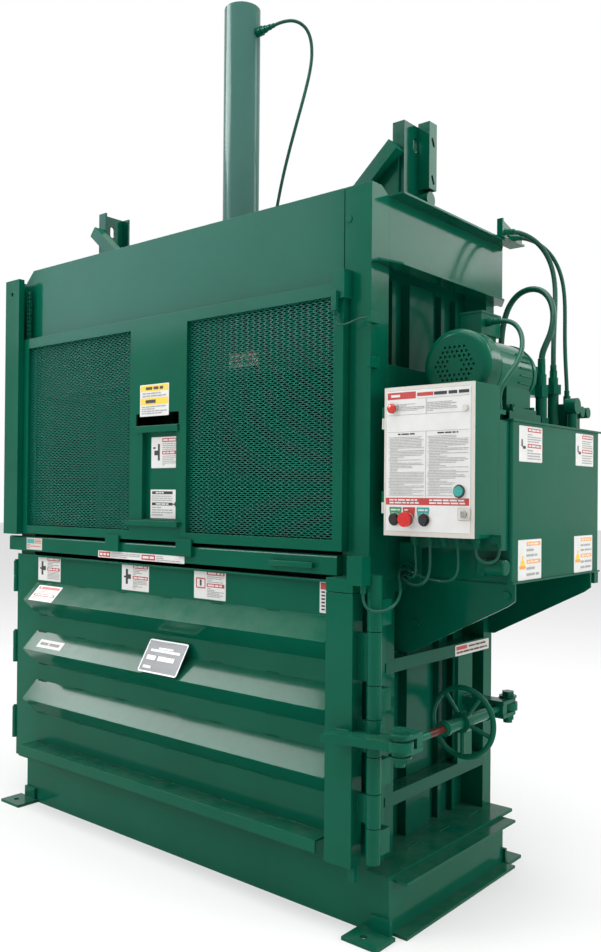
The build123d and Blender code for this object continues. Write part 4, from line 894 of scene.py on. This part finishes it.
@dataclass
class ControlFace:
    """The printing, lamps and rings on the control box's panel."""

    left: float = 903.0
    face: float = -361.0
    low: float = 1095.0

    def at(self, x: float, out: float, z: float) -> Triple:
        """Give a point by its place from the panel's lower left corner, and how far it stands out."""
        return (self.left + x, self.face - out, self.low + z)

    def print_sheet(self) -> Sign:
        """The overlay with its headings, columns of text and the band over the buttons.

        Returns:
            The sign.
        """
        sheet = Sign.rimmed("panel_print", "panel", self.at(6, 0, 12), (262, 381),
                            rim=0.8, thick=0.3, round_mm=6)
        sheet.fill(Ink.RED, (4, 357, 95, 376), (99, 362, 149, 372), (1, 72, 258, 91))
        sheet.fill(Ink.GREY, (3, 268, 257, 268.9), (3, 314, 257, 314.9), (99, 356, 257, 356.9),
                   (127, 93, 127.9, 268), (127, 314, 127.9, 356))
        for number, (left, right) in enumerate(((9.0, 122.0), (133.0, 255.0))):
            sheet.words(Ink.BLACK, 0.5, (left + 30, 259, right - 30, 266, 1, 67 + number))
            self.column(sheet, left, right, 61 + number)
        sheet.words(Ink.GREY, 0.35, (34, 324, 122, 345, 5, 65), (130, 320, 222, 346, 6, 66))
        sheet.words(Ink.WHITE, 0.6, (16, 361, 90, 372, 1, 69))
        sheet.words(Ink.BLACK, 0.7, (152, 361, 256, 373, 1, 70))
        return sheet.words(Ink.WHITE, 0.55, (13, 74, 107, 89, 2, 71), (140, 74, 246, 89, 2, 72))

    def column(self, sheet: Sign, left: float, right: float, seed: int) -> None:
        """Add one column of small print, in lines of uneven length.

        Args:
            sheet: The overlay.
            left: The column's left edge.
            right: Its right edge.
            seed: Picks the lengths.
        """
        top, pitch, lines, half = 254.0, 4.1, 39, 0.6
        lamp_left, lamp_z, lamp_room = 208.0, 110, 20
        pick = random.Random(seed)
        for row in range(lines):
            z = top - pitch * row
            end = right - pick.choice((0.0, 0.0, 2.0, 8.0, 36.0, 62.0, 84.0))
            if abs(z - lamp_z) < lamp_room:
                end = min(end, lamp_left)
            x = left if pick.random() < 0.3 else left + 4
            while x < end - 3:
                run = min(pick.uniform(6.0, 26.0), end - x)
                sheet.fields.append(Field((x, z - half, x + run, z + half), Ink.GREY, True))
                x += run + 1.6

    def legends(self) -> list[Sign]:
        """The small shields behind the push-buttons and the plate round the key.

        Returns:
            The signs.
        """
        signs = []
        for name, x, ink in (("start", 18.5, Ink.GREEN), ("stop", 62.0, Ink.RED), ("lower", 106.0, Ink.TEAL)):
            sign = Sign(f"{name}_legend", "panel", self.at(x, 0.5, 36), (40, 42), base=ink, taper=0.72)
            signs.append(sign.words(Ink.WHITE, 0.55, (6, 31, 35, 38, 1, len(name))))
        plate = Sign("key_legend", "panel", self.at(230, 0.5, 45), (36, 34), base=Ink.CREAM)
        plate.fill(Ink.GREY, (1.5, 1.5, 34.5, 32.5)).fill(Ink.CREAM, (2.3, 2.3, 33.7, 31.7))
        return signs + [plate]

    def rings(self) -> Object:
        """The rings round the push-buttons and the lit button.

        Returns:
            The joined rings.
        """
        rings = []
        for x, z in ((36.0, 45.0), (79.0, 45.0), (131.0, 45.0), (236.0, 121.0)):
            Shop.clear()
            bpy.ops.mesh.primitive_torus_add(
                location=[c * MM for c in self.at(x, 4, z)], rotation=(math.pi / 2, 0, 0),
                major_radius=15.8 * MM, minor_radius=1.8 * MM, major_segments=40, minor_segments=10)
            Shop.settle(bpy.context.object)
            rings.append(bpy.context.object)
        return Shop.join(rings, "button_rings")

    def build(self, finishes: Finishes) -> None:
        """Build the print, the legends, the rings, the pilot lamp and the lock."""
        for sign in [self.print_sheet()] + self.legends():
            sign.build(finishes)
        Shop.deliver(self.rings(), "panel", "button_black", finishes["black_gloss"], 60)
        dome = [(0, 13.4), (4, 13.4), (7, 11.8), (9.2, 8), (9.8, 0)]
        lamp = Shop.join([Shop.turned(self.at(29, 6.6, 345), (0, -1, 0), dome)], "pilot_lamp")
        Shop.deliver(lamp, "panel", "button_red", finishes["red_lens"], 50)
        rim = [(0, 8.8), (1.6, 8.8), (2.4, 7.8), (2.4, 5), (1, 4.6), (1, 0)]
        lock = Shop.join([Shop.turned(self.at(251, 0, 337), (0, -1, 0), rim)], "panel_lock")
        Shop.deliver(lock, "panel", "bright_metal", finishes["zinc"], 40)


@dataclass
class MeshInfill:
    """The gate's two sheets of expanded metal, in millimetres."""

    low_z: float = 1077.0
    high_z: float = 1767.0
    middle_y: float = -378.0
    columns: int = 25
    rows: int = 54
    strand: float = 3.4
    depth: float = 2.8
    lean: float = 1.6
    weld: float = 0.1

    def panel(self, left: float, right: float) -> Object:
        """Model one sheet from a single strand.

        Args:
            left: The sheet's left edge.
            right: Its right edge.

        Returns:
            The object.
        """
        half = (right - left) / self.columns / 2
        rise = (self.high_z - self.low_z) / self.rows / 2
        front, back = (self.middle_y + side * self.depth / 2 for side in (-1, 1))
        strand = Shop.block((left, front, self.low_z + self.strand / 2),
                            (left + half, back, self.low_z + self.strand * 1.5))
        Shop.edit_some(strand, "FACE", lambda face: abs(face.normal.x) > 0.9)
        bpy.ops.mesh.delete(type="ONLY_FACE")
        Shop.edit_some(strand, "VERT", lambda vertex: vertex.co.x > (left + half / 2) * MM)
        bpy.ops.transform.translate(value=(0, self.lean * MM, (rise - self.strand) * MM))
        Shop.clear()
        pivot = bpy.data.objects.new("pivot", None)
        bpy.context.scene.collection.objects.link(pivot)
        pivot.location = ((left + half) * MM, 0, 0)
        bpy.context.view_layer.update()
        merge = self.weld * MM
        Shop.use(strand, "MIRROR", use_axis=(True, False, False), mirror_object=pivot, merge_threshold=merge)
        Shop.array(strand, self.columns, (2 * half, 0, 0), use_merge_vertices=True, merge_threshold=merge)
        pivot.location = (0, 0, (self.low_z + rise + self.strand / 2) * MM)
        bpy.context.view_layer.update()
        Shop.use(strand, "MIRROR", use_axis=(False, False, True), mirror_object=pivot, use_mirror_merge=False)
        Shop.array(strand, self.rows, (0, 0, 2 * rise))
        bpy.data.objects.remove(pivot)
        Shop.edit(strand)
        bpy.ops.mesh.fill_holes(sides=4)
        Shop.face_out()
        return strand

    def build(self, finishes: Finishes) -> None:
        """Build both sheets; they stand for the coarse lattice of the frame."""
        for name, left, right in (("left_gate_mesh", -767.0, -147.0), ("right_gate_mesh", 139.0, 746.0)):
            sheet = self.panel(left, right)
            sheet.name = name
            Shop.deliver(sheet, "gate", "green_paint", finishes["mesh_green"])
            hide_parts("gate_mesh")


@dataclass
class WeldRuns:
    """Rows of overlapping weld ripples along the joints, in millimetres."""

    size: float = 5.0
    pitch: float = 4.0
    swell: float = 0.6
    squeeze: float = 0.75

    def run(self, start: Triple, end: Triple, size: float | None = None) -> list[Object]:
        """One bead between two points.

        Args:
            start: Where it starts.
            end: Where it ends.
            size: Its width, if not the usual one.

        Returns:
            The bead, in a list.
        """
        along = Vector(end) - Vector(start)
        Shop.clear()
        radius = (size or self.size) * self.swell * MM
        place = Vector(start) * MM
        bpy.ops.mesh.primitive_uv_sphere_add(segments=8, ring_count=5, radius=radius, location=place)
        bead = bpy.context.object
        bead.scale = [self.squeeze if abs(c) > along.length / 2 else 1.0 for c in along]
        Shop.settle(bead)
        count = max(2, round(along.length / self.pitch))
        Shop.array(bead, count, along / count)
        return [bead]

    def stitches(self, start: Triple, end: Triple, bead: float, gap: float) -> list[Object]:
        """Short beads with gaps along a joint.

        Args:
            start: Where the first bead starts.
            end: The end of the joint.
            bead: Each bead's length.
            gap: The bare length between beads.

        Returns:
            The beads.
        """
        line = Vector(end) - Vector(start)
        way = line.normalized()
        place = 0.0
        runs = []
        while place + bead <= line.length:
            first = Vector(start) + way * place
            runs += self.run(first, first + way * bead)
            place += bead + gap
        return runs

    def door(self) -> list[Object]:
        """The stitches along the ribs and the foot ledge."""
        return sum((self.stitches((-706, -372, z), (734, -372, z), 52, 186)
                    for z in (856, 732, 667, 543, 478, 354, 242)), [])

    def latch(self) -> list[Object]:
        """The beads at the arm and along the hinge pipes.

        Returns:
            The beads.
        """
        beads = []
        for z in (562, 538):
            beads += self.run((800, -437, z), (850, -437, z), 7)
        for low, high in ((308, 398), (500, 598), (692, 835)):
            for x in (856, 884):
                beads += self.run((x, -407.5, low + 10), (x, -407.5, high - 10))
        return beads

    def body(self) -> list[Object]:
        """The beads at the fixed pipes, the base, the masts, the side and the shelf.

        Returns:
            The beads.
        """
        beads = []
        for low, high in ((210, 306), (400, 498), (600, 690), (837, 935)):
            for x, y in ((911, -382), (856, -329.6)):
                beads += self.run((x, y, low + 16), (x, y, high - 18))
        beads += self.stitches((868, -361.5, 165.5), (928, -361.5, 165.5), 26, 8)
        beads += self.stitches((855.5, -340, 165.5), (855.5, 300, 165.5), 60, 120)
        for x in (745, -745):
            beads += self.run((x, -69, 2096), (x, -69, 2262), 6)
        beads += self.stitches((-140, -150, 2081), (140, -150, 2081), 60, 40)
        for low, high in ((320, 346), (700, 728)):
            beads += self.run((856, -277, low), (856, -277, high))
        for z in (538.5, 561.5):
            beads += self.run((856, 157, z), (856, 213, z), 7)
        return beads + self.run((874, -172.6, 967), (1180, -172.6, 967), 4)

    def build(self, finishes: Finishes) -> None:
        """Weld the door, the latch and the body."""
        for name, body, beads in (("door_welds", "door", self.door), ("latch_welds", "latch", self.latch),
                                  ("body_welds", "machine", self.body)):
            Shop.deliver(Shop.join(beads(), name), body, "green_paint", finishes["green_paint"], 60)


@dataclass
class LiftChain:
    """The roller chain at the gate's left end, in millimetres."""

    x: float = -783.0
    y: float = -378.0
    low_z: float = 1805.0
    pitch: float = 15.875
    links: int = 12
    half_plate: float = 0.9
    half_depth: float = 6.6
    pin_z: float = 7.0

    def link(self, z: float, width: float, riveted: bool) -> Object:
        """Model one link.

        Args:
            z: Its lower end.
            width: Half the distance between its plates.
            riveted: Whether pin ends show on its plates.

        Returns:
            The object.
        """
        pieces = []
        for side in (-1, 1):
            x = self.x + side * width
            low = (x - self.half_plate, self.y - self.half_depth, z + 0.6)
            high = (x + self.half_plate, self.y + self.half_depth, z + self.pitch + 13)
            pieces.append(Shop.block(low, high, 0.8))
            if riveted:
                pin = [(0, 2.6), (2.2, 2.6), (2.8, 1.8)]
                foot = (x - side * self.half_plate, self.y, z + self.pin_z)
                pieces.append(Shop.turned(foot, (side, 0, 0), pin, 12))
        roller = [(0, 4.8), (0.4, 5.1), (10.4, 5.1), (10.8, 4.8)]
        pieces.append(Shop.turned((self.x - 5.4, self.y, z + self.pin_z), (1, 0, 0), roller, 16))
        return Shop.join(pieces, "link")

    def build(self, finishes: Finishes) -> None:
        """Model one outer and one inner link, repeat them and join the strand."""
        pieces = [self.link(self.low_z, 8.6, True), self.link(self.low_z + self.pitch, 6.4, False)]
        for link in pieces:
            Shop.array(link, self.links // 2, (0, 0, 2 * self.pitch))
        chain = Shop.join(pieces, "lift_chain")
        Shop.edit(chain)
        top = (self.low_z + self.pitch * self.links) * MM
        bpy.ops.mesh.bisect(plane_co=(0, 0, top), plane_no=(0, 0, 1), clear_outer=True, use_fill=True)
        Shop.clear()
        Shop.deliver(chain, "gate", "green_paint", finishes["deep_green"], 35)
        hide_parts("gate_chain")


@dataclass
class Hose:
    """One hose or conduit, with the points of its route in millimetres."""

    name: str
    route: list[Triple]
    diameter: float
    length: float
    stiffness: str = "medium"
    crimped_from: float = 11.0

    def build(self, finishes: Finishes) -> None:
        curve = bpy.data.curves.new(self.name + "_tube", "CURVE")
        curve.dimensions = "3D"
        curve.bevel_depth = self.diameter * MM / 2
        curve.bevel_resolution = 5
        curve.use_fill_caps = True
        curve.resolution_u = 10
        line = curve.splines.new("NURBS")
        line.points.add(len(self.route) - 1)
        for point, place in zip(line.points, self.route):
            point.co = (*(c * MM for c in place), 1)
        line.order_u = 3
        line.use_endpoint_u = True
        tube = bpy.data.objects.new(self.name + "_tube", curve)
        bpy.context.scene.collection.objects.link(tube)
        curve.materials.append(finishes["hose_green"])
        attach(tube, "machine")
        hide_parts(self.name)
        log.info("%s is %.0f mm long", self.name, self.length)
        if self.diameter >= self.crimped_from:
            self.ferrules(finishes)

    def ferrules(self, finishes: Finishes) -> None:
        """Crimp a sleeve on each end."""
        wall, groove = 2.2, 0.93
        r = self.diameter / 2 + wall
        steps = [(0.2, r * 0.86), (1.6, r)]
        for z in (5, 9, 13):
            steps += [(z, r), (z + 0.8, r * groove), (z + 1.6, r * groove), (z + 2.4, r)]
        steps += [(17.5, r), (19, r * 0.88)]
        sleeves = [Shop.turned(first, Vector(second) - Vector(first), steps, 20)
                   for first, second in (self.route[:2], self.route[:-3:-1])]
        joined = Shop.join(sleeves, self.name + "_ferrules")
        Shop.deliver(joined, "machine", "green_hose", finishes["green_paint"], 40)


class Hoses:
    """All hoses, conduits and switch cables, routed as the frame's own solids are."""

    lines = [
        Hose("cylinder_hose", [
            (131, 10, 2898), (150, 10, 2898), (169, 17, 2903), (187, 32, 2910), (203, 53, 2915),
            (217, 76, 2911), (228, 97, 2896), (234, 112, 2870), (236, 120, 2834), (232, 124, 2788),
            (221, 124, 2738), (206, 122.5, 2688), (189, 120.5, 2636), (170, 118.5, 2582), (150, 117.5, 2526),
            (130, 117, 2470), (111, 117.2, 2414), (94, 118, 2360), (80, 119, 2310), (69, 119.8, 2268),
            (62, 120.3, 2236), (60, 120, 2210), (60, 120, 2185)], 12, 888),
        Hose("pressure_hose", [
            (924.2, 319, 2081), (942.6, 332.8, 2081), (970.8, 351.6, 2068.9), (996, 367, 2048.9),
            (1017.2, 378.2, 2022.2), (1034.1, 384.5, 1990.4), (1046.8, 385.5, 1955.3),
            (1056.2, 381.5, 1918.4), (1063.3, 373.5, 1880.7), (1069.1, 362.3, 1843), (1074.3, 349, 1805.7),
            (1079.6, 334.2, 1769), (1085.1, 318.9, 1732.7), (1090.9, 304.2, 1696.7), (1096.1, 291.6, 1660.6),
            (1100, 283, 1624), (1100, 283, 1601)], 16, 579),
        Hose("return_hose", [
            (924.2, 376, 2073), (942.6, 389.8, 2073), (971.9, 407.9, 2060.8), (998.3, 422.7, 2040.5),
            (1020.4, 434, 2013.4), (1037.9, 441.2, 1980.9), (1051, 444.2, 1944.8), (1060.3, 443.2, 1906.5),
            (1066.8, 439, 1867.1), (1071.4, 432.6, 1827.3), (1075.1, 425, 1787.6), (1078.6, 416.8, 1748.1),
            (1082.6, 408.7, 1708.8), (1087.1, 401.1, 1669.7), (1092, 394.5, 1630.7), (1096.6, 389.3, 1591.8),
            (1100, 386, 1553), (1100, 386, 1530)], 13, 631),
        Hose("loop_hose", [
            (930, 262, 1480), (930, 262, 1535), (928, 262.5, 1597), (927, 262.8, 1660), (930, 262.5, 1722),
            (940, 261, 1780), (962, 257, 1826), (998, 250, 1855), (1042, 241, 1862), (1084, 230, 1849),
            (1116, 216, 1819), (1136, 200, 1779), (1144, 184, 1736), (1141, 170, 1696), (1130, 159, 1662),
            (1120, 155, 1632), (1120, 155, 1603)], 19, 766),
        Hose("motor_conduit", [
            (1077, -62, 1707), (1099, -62, 1707), (1131.8, -64.4, 1699.8), (1157.1, -73.3, 1678.6),
            (1175.1, -87.5, 1650), (1185.9, -106.3, 1618.8), (1190, -128.8, 1587.9), (1187.6, -153.8, 1558.4),
            (1180.2, -178.7, 1530), (1171.3, -198.7, 1500.8), (1167, -206, 1468),
            (1167, -206, 1446)], 14, 371),
        Hose("gate_conduit", [
            (761, -406, 1710), (761, -406, 1700), (764, -405.5, 1690), (771, -404, 1683), (781, -401, 1680),
            (792, -397, 1681), (804, -391, 1686), (817, -384, 1692), (830, -376, 1697), (843, -371, 1698),
            (855, -371, 1698)], 6, 124, "limp"),
        Hose("door_cable", [
            (893, -441, 940), (893, -441, 922), (902.7, -438.6, 901.4), (922.3, -430.5, 893.1),
            (942.1, -416.9, 894.8), (955.4, -399, 903.5), (959.3, -378.5, 916), (954.5, -357.1, 930.1),
            (943.2, -336.3, 944.9), (928.2, -316.6, 960.3), (912.6, -297.7, 975.7), (899.7, -278.2, 989.3),
            (894, -255, 996), (894, -237, 996)], 8, 315, "limp"),
        Hose("first_cable", [
            (964, -297, 1069), (964, -297, 1053), (966.7, -297.7, 1028), (969.1, -298.4, 1005.6),
            (965.8, -297.6, 988.1), (954.7, -293.8, 977.9), (937.7, -286.1, 975.7), (920.6, -273.3, 978.9),
            (912, -253, 982), (912, -237, 982)], 6.5, 174, "limp"),
        Hose("second_cable", [
            (1012, -297, 1069), (1012, -297, 1053), (1013.8, -298.4, 1026.4), (1013.8, -301.2, 1001.2),
            (1008, -303.5, 979.7), (994.4, -304.1, 964.5), (974, -302.1, 957.4), (949.3, -297.1, 958.6),
            (924.4, -288.2, 966.1), (904, -274.3, 975.6), (895, -253, 981),
            (895, -237, 981)], 8, 249, "limp"),
        Hose("third_cable", [
            (1098, -297, 1069), (1098, -297, 1053), (1097.9, -294.6, 1027.1), (1093.6, -289.2, 1004.3),
            (1082.2, -282.9, 986.5), (1063.6, -277.4, 975.2), (1039.2, -273.6, 970.5),
            (1010.7, -272.1, 971.8), (979.9, -272.5, 977.8), (949.6, -272.9, 986.1), (924.4, -269.1, 993.5),
            (913, -253, 997), (913, -237, 997)], 7, 287, "limp"),
        Hose("box_conduit", [
            (1151, -297, 1069), (1151, -297, 1050), (1161, -291, 1034), (1176.5, -280.5, 1028),
            (1192, -270, 1034), (1202, -264, 1050), (1202, -264, 1069)], 8, 114, "limp"),
    ]

    def build(self, finishes: Finishes) -> None:
        """Draw every hose."""
        for hose in self.lines:
            hose.build(finishes)


class Dressing:
    """Gives each carried-over solid its finish."""

    special = {
        "piston_rod": "rod_chrome", "panel_door": "panel_grey", "start_button": "black_gloss",
        "lower_button": "black_gloss", "stop_button": "red_gloss", "lit_button": "teal_lens",
        "key_switch": "zinc", "front_yoke": "screw_paint", "platen": "platen_steel",
        # side_walls and back_wall take paint with painted shade on their inner faces
        "side_walls": "painted_shade_sides", "back_wall": "painted_shade_back", "motor_fan": "oil_black",
        # cylinder_tube takes the copy of the green with painted sky reflection
        "guide_masts": "deep_green", "side_frames": "deep_green", "cylinder_tube": "sheen_painted_green",
    }

    def build(self, finishes: Finishes) -> None:
        """Dress all nodes of the frame."""
        for name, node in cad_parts.items():
            hose = "conduit" in name or "hose" in name and "bracket" not in name
            node.data.materials.clear()
            usual = "hose_green" if hose else "green_paint"
            node.data.materials.append(finishes[self.special.get(name, usual)])


@dataclass
class Studio:
    """The floor, the lamps, the sky and the camera."""

    place: Triple = (2.3124, -2.3931, 1.2029)
    yaw: float = 39.94
    pitch: float = 0.3486
    roll: float = 0.4836
    focal_px: float = 898.0
    centre: tuple[float, float] = (302.35, 489.66)
    frame_px: tuple[int, int] = (601, 952)
    sensor: float = 36.0

    def camera(self) -> None:
        """Stand the camera where the photographer's was."""
        data = bpy.data.cameras.new("camera")
        camera = bpy.data.objects.new("camera", data)
        bpy.context.scene.collection.objects.link(camera)
        long_side = max(self.frame_px)
        data.sensor_width = self.sensor
        data.lens = self.focal_px / long_side * self.sensor
        data.shift_x = -(self.centre[0] - self.frame_px[0] / 2) / long_side
        data.shift_y = (self.centre[1] - self.frame_px[1] / 2) / long_side
        data.clip_end = 200
        yaw, pitch, roll = (math.radians(a) for a in (self.yaw, self.pitch, self.roll))
        look = Vector((-math.sin(yaw) * math.cos(pitch), math.cos(yaw) * math.cos(pitch), math.sin(pitch)))
        right = Vector((math.cos(yaw), math.sin(yaw), 0))
        rise = right.cross(look)
        across = right * math.cos(roll) + rise * math.sin(roll)
        up = rise * math.cos(roll) - right * math.sin(roll)
        turn = Matrix((across, up, -look)).transposed().to_4x4()
        camera.matrix_world = Matrix.Translation(self.place) @ turn
        bpy.context.scene.camera = camera

    def lamp(self, name: str, place: Triple, aim: Triple, size: float, power: float,
             shows: Shows = Shows.BOTH, tint: Triple = (1, 1, 1)) -> None:
        """Hang one soft box.

        Args:
            name: Its name.
            place: Where it hangs.
            aim: What it points at.
            size: Its side in metres.
            power: Its power in watts.
            shows: Whether it lights, shines in the gloss, or both.
            tint: Its colour.
        """
        data = bpy.data.lights.new(name, "AREA")
        data.shape = "SQUARE"
        data.size = size
        data.energy = power
        data.color = tint
        lamp = bpy.data.objects.new(name, data)
        bpy.context.scene.collection.objects.link(lamp)
        lamp.visible_camera = False
        lamp.visible_glossy = shows is not Shows.LIGHT
        lamp.visible_diffuse = shows is not Shows.GLINT
        lamp.location = place
        lamp.rotation_euler = (Vector(aim) - Vector(place)).to_track_quat("-Z", "Y").to_euler()

    @staticmethod
    def seen(bench: Nodes, *rays: str) -> NodeSocket:
        """One on the named kinds of ray, and zero on the others.

        Args:
            bench: The bench of a material or the world.
            rays: Light Path's names for them.

        Returns:
            The mask's socket.
        """
        path = bench.add("ShaderNodeLightPath")
        mask = path.outputs[rays[0]]
        for ray in rays[1:]:
            mask = bench.maths("MAXIMUM", mask, path.outputs[ray])
        return mask

    def sky(self) -> None:
        """A white surround, brighter overhead where it lights the machine."""
        strength = 0.78
        world = bpy.data.worlds.new("surround")
        bpy.context.scene.world = world
        world.use_nodes = True
        world.node_tree.nodes.clear()
        bench = Nodes(world.node_tree)
        way = bench.parts(bench.add("ShaderNodeTexCoord").outputs["Generated"])
        tone = bench.mix(bench.ramp(way[2], -0.1, 0.9), (0.40, 0.41, 0.42), (1.0, 1.0, 1.0))
        light = bench.add("ShaderNodeBackground", {0: tone, 1: strength})
        white = bench.add("ShaderNodeBackground", {0: (1, 1, 1, 1), 1: 1.0})
        seen = self.seen(bench, "Is Camera Ray", "Is Glossy Ray", "Is Transmission Ray")
        both = bench.add("ShaderNodeMixShader", {0: seen, 1: light.outputs[0], 2: white.outputs[0]})
        bench.add("ShaderNodeOutputWorld", {0: both.outputs[0]})

    def floor(self) -> None:
        """A pale floor that keeps the machine's shadow."""
        share = 0.42
        Shop.clear()
        bpy.ops.mesh.primitive_plane_add(size=60, location=(0, 0, 0))
        ground = bpy.context.object
        ground.name = "studio_floor"
        material = bpy.data.materials.new("pale_floor")
        material.use_nodes = True
        material.node_tree.nodes.clear()
        bench = Nodes(material.node_tree)
        seen = self.seen(bench, "Is Camera Ray", "Is Glossy Ray")
        matt = bench.add("ShaderNodeBsdfDiffuse", {0: (0.80, 0.80, 0.80, 1)})
        glow = bench.add("ShaderNodeEmission", {0: (1, 1, 1, 1), 1: 1.0})
        part = bench.maths("MULTIPLY", seen, share)
        both = bench.add("ShaderNodeMixShader", {0: part, 1: matt.outputs[0], 2: glow.outputs[0]})
        bench.add("ShaderNodeOutputMaterial", {0: both.outputs[0]})
        ground.data.materials.append(material)

    def build(self) -> None:
        """Set the stage."""
        self.camera()
        self.sky()
        self.floor()
        bpy.context.scene.view_settings.view_transform = "Standard"
        self.lamp("overhead", (0.5, -0.6, 6.0), (0, 0, 1.0), 5.0, 330)
        self.lamp("front_left", (-3.4, -4.6, 3.6), (0, 0, 1.2), 3.0, 180, Shows.LIGHT)
        self.lamp("right_side", (5.6, 1.6, 2.6), (0.9, 0, 1.2), 3.2, 150, Shows.LIGHT)
        self.lamp("rib_glint", (-6.3, -4.4, 6.0), (-6.3, -4.4, 0.0), 5.4, 1370, Shows.GLINT)
        self.lamp("head_glint", (-5.9, -5.5, 5.8), (-5.9, 0.0, 5.8), 5.4, 440, Shows.GLINT, (0.70, 0.86, 1.0))
        self.lamp("side_glint", (4.0, 5.0, 4.6), (0.85, 0.0, 2.0), 2.6, 100, Shows.GLINT)


def main() -> None:
    """Dress the machine and light it."""
    logging.basicConfig(level=logging.INFO, format="%(message)s")
    Studio().build()
    finishes = Finishes()
    for part in (Hoses, Dressing, MeshInfill, LiftChain, WeldRuns, ControlFace, SillHandle, RibEnds, Signs):
        part().build(finishes)
    Shop.clear()


if __name__ == "__main__":
    main()
